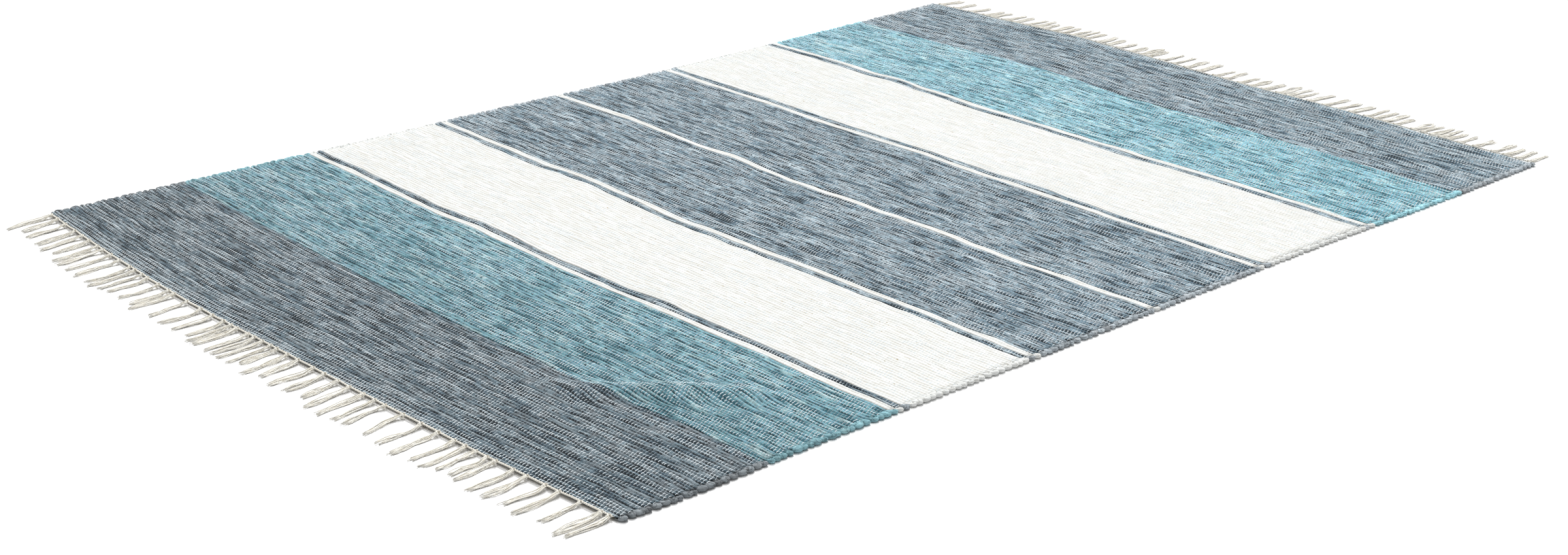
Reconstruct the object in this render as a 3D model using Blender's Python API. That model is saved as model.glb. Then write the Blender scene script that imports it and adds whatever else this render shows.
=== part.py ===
"""Flatweave cotton rag rug with a knotted fringe at both ends.

The rug lies flat on the surface z = 0 with its warp along Y and its weft along X. The origin is
under the middle of the woven cloth. Three solids make it up: the woven cloth with its selvedges of
turned rag loops, and at each end a narrow heading cord with the knotted tassels fused to it. The
near end is at -Y. All sizes are in metres.
"""
import math
import random
from collections import namedtuple

import bmesh
import bpy
from mathutils import Vector
from mathutils.geometry import delaunay_2d_cdt

# Driving sizes of the woven cloth
WIDTH = 1.600
LENGTH = 2.326
CLOTH_THICKNESS = 0.006
EDGE_ROUND = 0.0018
COCKLE_HEIGHT = 0.0005
GRID_PITCH = 0.145
END_STEPS = 40

# Selvedge: each rag weft turns back round the outer warp and leaves a rounded loop
LOOP_PITCH = 0.0168
LOOP_DEPTH = 0.0034
LOOP_UNEVENNESS = 0.35
LOOP_DEPTH_SHARES = (0.6, 1.2)

# Heading cord and tassels
GAP = 0.0003
CORD_WIDTH = 0.0055
CORD_HEIGHT = 0.0046
CORD_INSET = 0.010
KNOT_OUT = 0.0020
KNOT_HEIGHT = 0.0060
KNOT_HALF = 0.0046
TASSELS_PER_END = 52
TASSEL_UNEVENNESS = 0.45
FRINGE_LENGTH = 0.080
FRINGE_UNEVENNESS = 0.010
TIP_MARGIN = 0.0028
LEAN_DRIFT = 0.004
LEAN_WAVE = 0.003
LEAN_WANDER = 0.005
LEAN_SPLAY = 0.0055

EdgePoint = namedtuple("EdgePoint", "along out")
LoopPoint = namedtuple("LoopPoint", "share inward")
RimPoint = namedtuple("RimPoint", "x y inward_x inward_y")
RidgePoint = namedtuple("RidgePoint", "x y height half_width")
StrandSection = namedtuple("StrandSection", "reach width height")

# How far each edge bows out of the true rectangle, by the place along it from its middle
NEAR_EDGE = (
    EdgePoint(-0.80, 0.000), EdgePoint(-0.54, 0.017), EdgePoint(-0.26, 0.026), EdgePoint(0.02, 0.020),
    EdgePoint(0.30, 0.012), EdgePoint(0.56, 0.001), EdgePoint(0.80, -0.014),
)
FAR_EDGE = (
    EdgePoint(-0.80, -0.006), EdgePoint(-0.56, 0.012), EdgePoint(-0.37, 0.027), EdgePoint(-0.15, 0.020),
    EdgePoint(0.08, 0.010), EdgePoint(0.32, 0.013), EdgePoint(0.56, 0.009), EdgePoint(0.80, 0.005),
)
LEFT_EDGE = (
    EdgePoint(-1.163, 0.007), EdgePoint(-0.86, 0.003), EdgePoint(-0.55, 0.001), EdgePoint(-0.17, 0.005),
    EdgePoint(0.15, -0.001), EdgePoint(0.42, 0.004), EdgePoint(0.70, 0.012), EdgePoint(0.92, 0.019),
    EdgePoint(1.163, 0.027),
)
RIGHT_EDGE = (
    EdgePoint(-1.163, 0.011), EdgePoint(-1.02, 0.014), EdgePoint(-0.78, 0.008), EdgePoint(-0.36, 0.006),
    EdgePoint(-0.05, 0.003), EdgePoint(0.42, -0.001), EdgePoint(0.78, 0.005), EdgePoint(1.163, 0.005),
)

# One selvedge loop, from its valley over its two shoulders, as shares of its length and depth
LOOP_SHAPE = (LoopPoint(0.0, 1.0), LoopPoint(0.28, 0.15), LoopPoint(0.72, 0.0))

# The one standing wrinkle, by the points of its crest
WRINKLE = (
    RidgePoint(0.355, -0.975, 0.000, 0.030), RidgePoint(0.450, -0.918, 0.010, 0.036),
    RidgePoint(0.530, -0.834, 0.014, 0.040), RidgePoint(0.600, -0.760, 0.011, 0.038),
    RidgePoint(0.680, -0.705, 0.000, 0.030),
)
WRINKLE_STEP = 0.022
WRINKLE_CLEAR = 0.07
WRINKLE_OFFSETS = (-1.0, -0.66, -0.33, 0.0, 0.33, 0.66, 1.0)

# A strand of a tassel from its knot to its tip, as shares of its length, and its own section
STRAND_SECTIONS = (
    StrandSection(0.12, 0.0036, 0.0036),
    StrandSection(0.55, 0.0042, 0.0030),
    StrandSection(1.00, 0.0052, 0.0022),
)


def slope_at(points, i):
    """The bow's slope at a table point, from its neighbours."""
    before, after = points[max(i - 1, 0)], points[min(i + 1, len(points) - 1)]
    return (after.out - before.out) / (after.along - before.along)


def smooth_edge(points, along):
    """How far an edge bows out at a place along it, on one smooth cubic through the table's points."""
    along = min(max(along, points[0].along), points[-1].along)
    i = next(k for k in range(len(points) - 1) if along <= points[k + 1].along)
    first, second = points[i], points[i + 1]
    span = second.along - first.along
    t = (along - first.along) / span
    rise = slope_at(points, i) * span * (t * t * t - 2 * t * t + t)
    fall = slope_at(points, i + 1) * span * (t * t * t - t * t)
    return first.out + (second.out - first.out) * t * t * (3 - 2 * t) + rise + fall


def near_edge(x):
    """The y of the cloth's near end."""
    return -LENGTH / 2 - smooth_edge(NEAR_EDGE, x)


def far_edge(x):
    """The y of the cloth's far end."""
    return LENGTH / 2 + smooth_edge(FAR_EDGE, x)


def left_edge(y):
    """The x of the left selvedge at the crests of its loops."""
    return -WIDTH / 2 - smooth_edge(LEFT_EDGE, y)


def right_edge(y):
    """The x of the right selvedge at the crests of its loops."""
    return WIDTH / 2 + smooth_edge(RIGHT_EDGE, y)


def wrinkle_height(x, y):
    """How high the cloth is lifted off the floor by the wrinkle."""
    best = 0.0
    for first, second in zip(WRINKLE, WRINKLE[1:]):
        run = Vector((second.x - first.x, second.y - first.y))
        share = Vector((x - first.x, y - first.y)).dot(run) / run.length_squared
        share = min(max(share, 0.0), 1.0)
        away = math.hypot(x - first.x - share * run.x, y - first.y - share * run.y)
        half_width = first.half_width + (second.half_width - first.half_width) * share
        ease = share * share * (3 - 2 * share)
        crest = first.height + (second.height - first.height) * ease
        if away < half_width:
            best = max(best, crest * math.cos(math.pi / 2 * away / half_width) ** 2)
    return best


def cockle(x, y):
    """The slight unevenness of the cloth's upper face."""
    return COCKLE_HEIGHT * (math.sin(9.0 * x + 4.0 * y) + math.sin(7.0 * y - 5.0 * x))


def selvedge(edge_at, side, seed):
    """The points of one selvedge, loop by loop from the near end to the far one."""
    rng = random.Random(seed)
    x_corner = side * WIDTH / 2
    start, end = near_edge(x_corner) + EDGE_ROUND, far_edge(x_corner) - EDGE_ROUND
    count = round((end - start) / LOOP_PITCH)
    steps = [1 + LOOP_UNEVENNESS * rng.uniform(-1, 1) for _ in range(count)]
    scale = (end - start) / sum(steps)
    points, y = [], start
    for step in steps:
        loop = step * scale
        deep = LOOP_DEPTH * rng.uniform(*LOOP_DEPTH_SHARES)
        for point in LOOP_SHAPE:
            place = y + point.share * loop
            points.append(RimPoint(edge_at(place) - side * point.inward * deep, place, -side, 0))
        y += loop
    points.append(RimPoint(edge_at(end) - side * LOOP_DEPTH, end, -side, -1))
    points[0] = points[0]._replace(inward_y=1)
    return points


def end_edge(edge_at, side, start_x, end_x):
    """The points of a fringed end between its corners, which aren't among them."""
    places = [start_x + (end_x - start_x) * i / END_STEPS for i in range(1, END_STEPS)]
    return [RimPoint(x, edge_at(x), 0, -side) for x in places]


def cloth_outline():
    """The cloth's outline at its widest, anticlockwise from the near left corner."""
    right = selvedge(right_edge, 1, seed=3)
    left = selvedge(left_edge, -1, seed=5)
    near = end_edge(near_edge, -1, left[0].x, right[0].x)
    far = end_edge(far_edge, 1, right[-1].x, left[-1].x)
    return near + right + far + left[::-1]


def inner_points():
    """Points inside the outline: an even grid, and rows across the wrinkle."""
    points = []
    margin = 0.5 * GRID_PITCH
    columns = int((WIDTH - 2 * margin) / GRID_PITCH) + 1
    rows = int((LENGTH - 2 * margin) / GRID_PITCH) + 1
    for i in range(columns):
        for j in range(rows):
            x = -WIDTH / 2 + margin + i * (WIDTH - 2 * margin) / (columns - 1)
            y = -LENGTH / 2 + margin + j * (LENGTH - 2 * margin) / (rows - 1)
            if all(math.hypot(x - p.x, y - p.y) > WRINKLE_CLEAR for p in WRINKLE):
                points.append((x, y))
    for first, second in zip(WRINKLE, WRINKLE[1:]):
        run = Vector((second.x - first.x, second.y - first.y))
        across = Vector((-run.y, run.x)).normalized()
        steps = max(1, round(run.length / WRINKLE_STEP))
        for k in range(steps):
            share = k / steps
            half_width = first.half_width + (second.half_width - first.half_width) * share
            for offset in WRINKLE_OFFSETS:
                place = Vector((first.x, first.y)) + run * share + across * (offset * half_width)
                points.append((place.x, place.y))
    return points


def woven_cloth():
    """The cloth: a triangulated sheet, extruded to its thickness, with a rounded rim."""
    outline = cloth_outline()
    rim = [Vector((p.x + EDGE_ROUND * p.inward_x, p.y + EDGE_ROUND * p.inward_y)) for p in outline]
    flat = rim + [Vector(p) for p in inner_points()]
    vertices, _, faces, _, _, _ = delaunay_2d_cdt(flat, [], [list(range(len(rim)))], 1, 1e-6)
    bm = bmesh.new()
    verts = [bm.verts.new((v.x, v.y, 0.0)) for v in vertices]
    for face in faces:
        bm.faces.new([verts[i] for i in face])
    bmesh.ops.recalc_face_normals(bm, faces=bm.faces)
    raised = bmesh.ops.extrude_face_region(bm, geom=bm.faces[:])
    top = {v for v in raised["geom"] if isinstance(v, bmesh.types.BMVert)}
    for v in top:
        v.co.z = CLOTH_THICKNESS
    uprights = [e for e in bm.edges if (e.verts[0] in top) != (e.verts[1] in top)]
    cut = bmesh.ops.subdivide_edges(bm, edges=uprights, cuts=1)
    middle = {v for v in cut["geom_inner"] if isinstance(v, bmesh.types.BMVert)}
    full = {(round(r.x, 5), round(r.y, 5)): p for r, p in zip(rim, outline)}
    for v in middle:
        widest = full[(round(v.co.x, 5), round(v.co.y, 5))]
        v.co.x, v.co.y = widest.x, widest.y
    for v in bm.verts:
        x, y = v.co.x, v.co.y
        v.co.z += wrinkle_height(x, y)
        if v in top:
            v.co.z += cockle(x, y)
    bmesh.ops.recalc_face_normals(bm, faces=bm.faces)
    return bm


def tassel_places(start, end, seed):
    """Where the tassels stand along an end, as unevenly as they are knotted."""
    rng = random.Random(seed)
    steps = [1 + TASSEL_UNEVENNESS * rng.uniform(-1, 1) for _ in range(TASSELS_PER_END - 1)]
    scale = (end - start) / sum(steps)
    places = [start]
    for step in steps:
        places.append(places[-1] + step * scale)
    return places


def tassel_lean(x, lane, rng):
    """How far the two strands of a tassel wander sideways to their tips, kept in the tassel's lane."""
    drift = LEAN_DRIFT + LEAN_WAVE * math.sin(6.0 * x)
    wander = min(0.24 * lane, LEAN_WANDER) * rng.uniform(-1, 1)
    splay = min(0.36 * lane, LEAN_SPLAY) * rng.uniform(0.75, 1.0)
    return drift + wander - splay, drift + wander + splay


def fringe(edge_at, side, seed):
    """A heading cord along one end with its tassels, in one solid. side is -1 near and 1 far."""
    rng = random.Random(seed + 100)
    corner_y = side * LENGTH / 2
    start_x = left_edge(corner_y) + CORD_INSET
    end_x = right_edge(corner_y) - CORD_INSET
    places = tassel_places(start_x + 2 * KNOT_HALF, end_x - 2 * KNOT_HALF, seed)
    stations = [(start_x, 0.0)]
    for place in places:
        stations += [(place - KNOT_HALF, 0.0), (place, 1.0), (place + KNOT_HALF, 0.0)]
    stations.append((end_x, 0.0))

    bm = bmesh.new()
    bmesh.ops.create_grid(bm, x_segments=len(stations) - 1, y_segments=1, size=0.5)
    ordered = sorted(bm.verts, key=lambda v: (round(v.co.x, 6), v.co.y))
    for i, (x, knot) in enumerate(stations):
        wall = edge_at(x) + side * GAP
        outer = wall + side * (CORD_WIDTH + KNOT_OUT * knot)
        low, high = sorted((wall, outer))
        ordered[2 * i].co = (x, low, 0.0)
        ordered[2 * i + 1].co = (x, high, 0.0)
    knots = {round(x, 5) for x, knot in stations if knot}
    raised = bmesh.ops.extrude_face_region(bm, geom=bm.faces[:])
    for v in raised["geom"]:
        if isinstance(v, bmesh.types.BMVert):
            v.co.z = KNOT_HEIGHT if round(v.co.x, 5) in knots else CORD_HEIGHT
    bmesh.ops.recalc_face_normals(bm, faces=bm.faces)

    def is_root(face):
        """True on an outer wall of the cord next to a knot."""
        outwards = face.normal.y * side > 0.7
        return outwards and any(round(v.co.x, 5) in knots for v in face.verts)

    roots = sorted((f for f in bm.faces if is_root(f)), key=lambda f: f.calc_center_median().x)
    for number, place in enumerate(places):
        nearest = min(abs(place - other) for other in places if other != place)
        leans = tassel_lean(place, nearest / 2 - TIP_MARGIN, rng)
        length = FRINGE_LENGTH + FRINGE_UNEVENNESS * rng.uniform(-1, 1)
        for half, lean in enumerate(leans):
            face = roots[2 * number + half]
            centre = face.calc_center_median()
            strand_length = length + 0.3 * FRINGE_UNEVENNESS * rng.uniform(-1, 1)
            draw_strand(bm, face, centre, side, lean, strand_length)
    bmesh.ops.recalc_face_normals(bm, faces=bm.faces)
    return bm


def draw_strand(bm, face, root, side, lean, length):
    """Extrude one strand from its root face along the floor, through the sections of the table."""
    for section in STRAND_SECTIONS:
        face = bmesh.ops.extrude_discrete_faces(bm, faces=[face])["faces"][0]
        x = root.x + lean * section.reach ** 1.5
        y = root.y + side * length * section.reach
        middle_x = sum(v.co.x for v in face.verts) / 4
        middle_z = sum(v.co.z for v in face.verts) / 4
        for v in face.verts:
            v.co.x = x + math.copysign(section.width / 2, v.co.x - middle_x)
            v.co.y = y
            v.co.z = section.height if v.co.z > middle_z else 0.0


def finish(name, base_hex, rough):
    """A matt cotton finish of one colour."""
    material = bpy.data.materials.new(name)
    material.use_nodes = True
    shader = material.node_tree.nodes["Principled BSDF"]
    channels = [int(base_hex[i:i + 2], 16) / 255 for i in (0, 2, 4)]
    linear = [c / 12.92 if c <= 0.04045 else ((c + 0.055) / 1.055) ** 2.4 for c in channels]
    shader.inputs["Base Color"].default_value = (*linear, 1.0)
    shader.inputs["Roughness"].default_value = rough
    shader.inputs["Metallic"].default_value = 0.0
    return material


def add_piece(collection, name, bm, material):
    """Put a finished mesh in the rug's collection as one object."""
    mesh = bpy.data.meshes.new(name)
    bm.to_mesh(mesh)
    bm.free()
    mesh.materials.append(material)
    piece = bpy.data.objects.new(name, mesh)
    collection.objects.link(piece)
    return piece


def main():
    """Clear the scene and build the rug's three pieces."""
    for old in list(bpy.context.scene.objects):
        bpy.data.objects.remove(old, do_unlink=True)
    collection = bpy.data.collections.new("cotton_flatweave_rug")
    bpy.context.scene.collection.children.link(collection)
    rag = finish("cotton rag weave", "7b8b94", 0.92)
    yarn = finish("cotton warp yarn", "e8e2d6", 0.90)
    add_piece(collection, "cloth", woven_cloth(), rag)
    add_piece(collection, "fringe_near", fringe(near_edge, -1, seed=11), yarn)
    add_piece(collection, "fringe_far", fringe(far_edge, 1, seed=23), yarn)


main()
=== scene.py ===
"""The looks of a flatweave cotton rag rug with knotted fringes at both ends.

The rug lies on the floor, its warp along Y and its rag weft along X, with the near end at -Y. Sizes are
in metres. Each stripe of the weave is a closed sheet whose picks stand up as ribs on both faces. Over the
picks the warp yarns show as short floats, and at both sides the weft turns back in loops that make the
selvedges. At each end the warp yarns are twined into a heading cord and knotted into tassels.
"""
import logging
import math
import random
from collections.abc import Callable, Sequence
from dataclasses import dataclass, field
from enum import Enum
from functools import partial

import bpy
import numpy as np
from mathutils import Matrix, Vector


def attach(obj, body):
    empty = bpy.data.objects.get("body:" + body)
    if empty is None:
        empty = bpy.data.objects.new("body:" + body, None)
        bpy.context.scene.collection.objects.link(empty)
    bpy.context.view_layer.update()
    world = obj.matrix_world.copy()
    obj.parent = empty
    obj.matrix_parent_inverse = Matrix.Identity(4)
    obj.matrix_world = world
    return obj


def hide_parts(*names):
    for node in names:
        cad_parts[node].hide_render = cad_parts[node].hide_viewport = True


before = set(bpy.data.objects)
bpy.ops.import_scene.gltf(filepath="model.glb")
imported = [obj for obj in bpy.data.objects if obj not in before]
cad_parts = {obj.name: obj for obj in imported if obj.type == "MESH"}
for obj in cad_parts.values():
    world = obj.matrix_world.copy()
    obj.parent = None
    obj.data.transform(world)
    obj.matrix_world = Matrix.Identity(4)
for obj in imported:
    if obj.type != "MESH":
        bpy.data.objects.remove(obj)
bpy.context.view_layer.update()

LOG = logging.getLogger("rag_rug")
FULL_TURN = 2 * math.pi

Array = np.ndarray
Piece = bpy.types.Object
Socket = bpy.types.NodeSocket
Tree = bpy.types.NodeTree
Adder = Callable[..., Socket]
Span = tuple[float, float]
Ramp = tuple[float, float, float, float]


def linear(hex_colour: str) -> tuple[float, float, float, float]:
    """Turn an sRGB hex colour into the linear colour that a shader takes.

    Args:
        hex_colour: six hex digits.

    Returns:
        Red, green, blue and an alpha of one.
    """
    channels = [int(hex_colour[i:i + 2], 16) / 255 for i in (0, 2, 4)]
    lit = [c / 12.92 if c <= 0.04045 else ((c + 0.055) / 1.055) ** 2.4 for c in channels]
    return (lit[0], lit[1], lit[2], 1.0)


def smoothstep(share: Array) -> Array:
    """Ease a share from 0 to 1."""
    share = np.clip(share, 0.0, 1.0)
    return share * share * (3 - 2 * share)


def smooth_rows(knots: Array, rows: Array, share: Array) -> Array:
    """Read random knots as one smooth line for each row.

    Args:
        knots: a table with a row of evenly spaced knots for each line.
        rows: which line to read.
        share: where along it, from 0 to 1.

    Returns:
        The lines' values there.
    """
    place = np.clip(share, 0, 1) * (knots.shape[1] - 1)
    k = np.minimum(place.astype(int), knots.shape[1] - 2)
    ease = smoothstep(place - k)
    return knots[rows, k] * (1 - ease) + knots[rows, k + 1] * ease


def smooth_field(knots: Array, along: Array, across: Array) -> Array:
    """Read a lattice of random knots as a smooth surface.

    Args:
        knots: the lattice, along the cloth by its rows and across it by its columns.
        along: where along it, from 0 to 1.
        across: where across it, from 0 to 1.

    Returns:
        The surface's values there.
    """
    place = np.clip(along, 0, 1) * (knots.shape[0] - 1)
    k = np.minimum(place.astype(int), knots.shape[0] - 2)
    ease = smoothstep(place - k)
    return smooth_rows(knots, k, across) * (1 - ease) + smooth_rows(knots, k + 1, across) * ease


def mesh_object(
    name: str,
    points: Array,
    blocks: Sequence[Array],
    maps: dict[str, Sequence[Array]],
    flat_blocks: int = 0,
) -> Piece:
    """Make one object from blocks of faces that each have one corner count.

    Args:
        name: the object's name.
        points: an array of points.
        blocks: blocks of faces, each an array with a face in each row.
        maps: for each UV map, the places of each block's corners.
        flat_blocks: how many of the last blocks are shaded flat.

    Returns:
        The object, linked to the scene.
    """
    sizes = np.concatenate([np.full(len(b), b.shape[1]) for b in blocks]).astype(np.int32)
    corners = np.concatenate([b.ravel() for b in blocks]).astype(np.int32)
    mesh = bpy.data.meshes.new(name)
    mesh.vertices.add(len(points))
    mesh.vertices.foreach_set("co", np.asarray(points, np.float32).ravel())
    mesh.loops.add(len(corners))
    mesh.loops.foreach_set("vertex_index", corners)
    mesh.polygons.add(len(sizes))
    mesh.polygons.foreach_set("loop_start", (np.cumsum(sizes) - sizes).astype(np.int32))
    mesh.update(calc_edges=True)
    smooth_faces = sum(len(b) for b in blocks[:len(blocks) - flat_blocks])
    mesh.polygons.foreach_set("use_smooth", np.arange(len(sizes)) < smooth_faces)
    for map_name, places in maps.items():
        layer = mesh.uv_layers.new(name=map_name)
        layer.data.foreach_set("uv", np.concatenate([p.ravel() for p in places]).astype(np.float32))
    mesh.validate()
    piece = bpy.data.objects.new(name, mesh)
    bpy.context.scene.collection.objects.link(piece)
    return piece


@dataclass(frozen=True)
class EdgePoint:
    """How far an edge bows outwards at a place along it."""

    along: float
    out: float


@dataclass(frozen=True)
class EdgeCurve:
    """One smooth cubic through an edge's points."""

    points: tuple[EdgePoint, ...]

    def out(self, along: Array) -> Array:
        """Find the outward bow at places along the edge.

        Args:
            along: places along the edge, from its middle.

        Returns:
            How far the edge lies outside the plain rectangle at each.
        """
        places = np.array([p.along for p in self.points])
        outs = np.array([p.out for p in self.points])
        last = len(places) - 1
        before = np.maximum(np.arange(last + 1) - 1, 0)
        after = np.minimum(np.arange(last + 1) + 1, last)
        slopes = (outs[after] - outs[before]) / (places[after] - places[before])
        along = np.clip(np.asarray(along, float), places[0], places[-1])
        i = np.clip(np.searchsorted(places, along) - 1, 0, last - 1)
        span = places[i + 1] - places[i]
        t = (along - places[i]) / span
        rise = slopes[i] * span * (t ** 3 - 2 * t ** 2 + t)
        fall = slopes[i + 1] * span * (t ** 3 - t ** 2)
        return outs[i] + (outs[i + 1] - outs[i]) * t * t * (3 - 2 * t) + rise + fall


@dataclass(frozen=True)
class RidgePoint:
    """A point on the crest of the wrinkle."""

    x: float
    y: float
    height: float
    half_width: float


@dataclass(frozen=True)
class RugForm:
    """The rug's outline and the way it lies, as in its solids but with a lower and softer wrinkle."""

    width: float = 1.600
    length: float = 2.326
    thickness: float = 0.006
    cockle: float = 0.0005
    cockle_waves: tuple[Span, ...] = ((9.0, 4.0), (-5.0, 7.0))
    near: EdgeCurve = EdgeCurve((
        EdgePoint(-0.80, 0.000), EdgePoint(-0.54, 0.017), EdgePoint(-0.26, 0.026),
        EdgePoint(0.02, 0.020), EdgePoint(0.30, 0.012), EdgePoint(0.56, 0.001), EdgePoint(0.80, -0.014),
    ))
    far: EdgeCurve = EdgeCurve((
        EdgePoint(-0.80, -0.006), EdgePoint(-0.56, 0.012), EdgePoint(-0.37, 0.027),
        EdgePoint(-0.15, 0.020), EdgePoint(0.08, 0.010), EdgePoint(0.32, 0.013),
        EdgePoint(0.56, 0.009), EdgePoint(0.80, 0.005),
    ))
    left: EdgeCurve = EdgeCurve((
        EdgePoint(-1.163, 0.007), EdgePoint(-0.86, 0.003), EdgePoint(-0.55, 0.001),
        EdgePoint(-0.17, 0.005), EdgePoint(0.15, -0.001), EdgePoint(0.42, 0.004),
        EdgePoint(0.70, 0.012), EdgePoint(0.92, 0.019), EdgePoint(1.163, 0.027),
    ))
    right: EdgeCurve = EdgeCurve((
        EdgePoint(-1.163, 0.011), EdgePoint(-1.02, 0.014), EdgePoint(-0.78, 0.008),
        EdgePoint(-0.36, 0.006), EdgePoint(-0.05, 0.003), EdgePoint(0.42, -0.001),
        EdgePoint(0.78, 0.005), EdgePoint(1.163, 0.005),
    ))
    wrinkle: tuple[RidgePoint, ...] = (
        RidgePoint(0.355, -0.975, 0.000, 0.034), RidgePoint(0.450, -0.918, 0.008, 0.043),
        RidgePoint(0.530, -0.834, 0.011, 0.047), RidgePoint(0.600, -0.760, 0.009, 0.045),
        RidgePoint(0.680, -0.705, 0.000, 0.034),
    )

    def end_y(self, side: int, x: Array) -> Array:
        """The y of the woven end at x, of the near end for side -1 and the far one for +1."""
        return side * (self.length / 2 + (self.near if side < 0 else self.far).out(x))

    def side_x(self, side: int, y: Array) -> Array:
        """The x of the selvedge's loop crests at y, on the left for side -1 and the right for +1."""
        return side * (self.width / 2 + (self.left if side < 0 else self.right).out(y))

    def lift(self, x: Array, y: Array) -> Array:
        """Find how high the wrinkle lifts the cloth off the floor.

        Args:
            x: places across the rug.
            y: places along it.

        Returns:
            The lift at each place.
        """
        highest = np.zeros(np.broadcast(x, y).shape)
        for first, second in zip(self.wrinkle, self.wrinkle[1:]):
            run_x, run_y = second.x - first.x, second.y - first.y
            share = ((x - first.x) * run_x + (y - first.y) * run_y) / (run_x ** 2 + run_y ** 2)
            share = np.clip(share, 0, 1)
            away = np.hypot(x - first.x - share * run_x, y - first.y - share * run_y)
            half_width = first.half_width + (second.half_width - first.half_width) * share
            crest = first.height + (second.height - first.height) * smoothstep(share)
            bump = crest * np.cos(np.pi / 2 * np.minimum(away / half_width, 1.0)) ** 2
            highest = np.maximum(highest, bump)
        return highest

    def unevenness(self, x: Array, y: Array) -> Array:
        """The slight cockling of the upper face."""
        return self.cockle * sum(np.sin(across * x + along * y) for across, along in self.cockle_waves)


class Rag(Enum):
    """The rag wefts, by colour."""

    SLATE = "slate"
    TEAL = "teal"
    WHITE = "white"


@dataclass(frozen=True)
class Stripe:
    """A run of picks woven with one rag."""

    rag: Rag
    picks: int


STRIPES = (
    Stripe(Rag.SLATE, 37), Stripe(Rag.TEAL, 38), Stripe(Rag.WHITE, 2), Stripe(Rag.SLATE, 2),
    Stripe(Rag.WHITE, 38), Stripe(Rag.SLATE, 2), Stripe(Rag.WHITE, 2), Stripe(Rag.SLATE, 40),
    Stripe(Rag.WHITE, 2), Stripe(Rag.SLATE, 40), Stripe(Rag.WHITE, 2), Stripe(Rag.SLATE, 2),
    Stripe(Rag.WHITE, 40), Stripe(Rag.SLATE, 2), Stripe(Rag.WHITE, 2), Stripe(Rag.TEAL, 40),
    Stripe(Rag.SLATE, 37),
)
RAG_OF_PICK = [stripe.rag for stripe in STRIPES for _ in range(stripe.picks)]


@dataclass(frozen=True)
class Hump:
    """A place where the weave was beaten towards the far end, or back from it for a push below zero.

    Where it thickens, extra short picks were laid in there, and only the lines past the pick give way.
    """

    x: float
    pick: int
    push: float
    half_length: float
    thickens: bool = False


HUMPS = (
    Hump(-0.68, 37, 0.004, 0.10), Hump(0.03, 37, -0.007, 0.18), Hump(0.70, 37, 0.010, 0.20),
    Hump(-0.65, 77, 0.004, 0.10), Hump(-0.40, 77, -0.004, 0.07), Hump(-0.25, 77, 0.003, 0.07),
    Hump(0.03, 77, -0.007, 0.15), Hump(0.62, 77, 0.003, 0.14), Hump(-0.26, 77, 0.004, 0.04, True),
    Hump(0.26, 77, 0.007, 0.045, True), Hump(-0.74, 117, 0.003, 0.04, True),
    Hump(-0.32, 118, 0.005, 0.09), Hump(-0.02, 119, -0.006, 0.15), Hump(0.55, 119, 0.004, 0.10),
    Hump(-0.59, 162, 0.006, 0.14), Hump(-0.37, 162, -0.005, 0.06), Hump(-0.25, 162, 0.005, 0.06),
    Hump(-0.07, 162, -0.006, 0.10), Hump(0.33, 162, 0.003, 0.10), Hump(-0.02, 205, 0.005, 0.07),
    Hump(0.26, 205, 0.006, 0.05, True), Hump(-0.57, 249, 0.006, 0.06), Hump(-0.41, 249, 0.011, 0.06),
    Hump(-0.14, 249, -0.006, 0.12), Hump(0.22, 248, 0.008, 0.05, True), Hump(0.24, 247, -0.006, 0.08),
    Hump(-0.28, 291, 0.009, 0.13), Hump(0.26, 291, 0.006, 0.07), Hump(0.68, 291, -0.009, 0.13),
)


@dataclass(frozen=True)
class Waver:
    """One scale of the uneven beating: its knots along and across the cloth, and its weight."""

    along: int
    across: int
    weight: float


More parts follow.
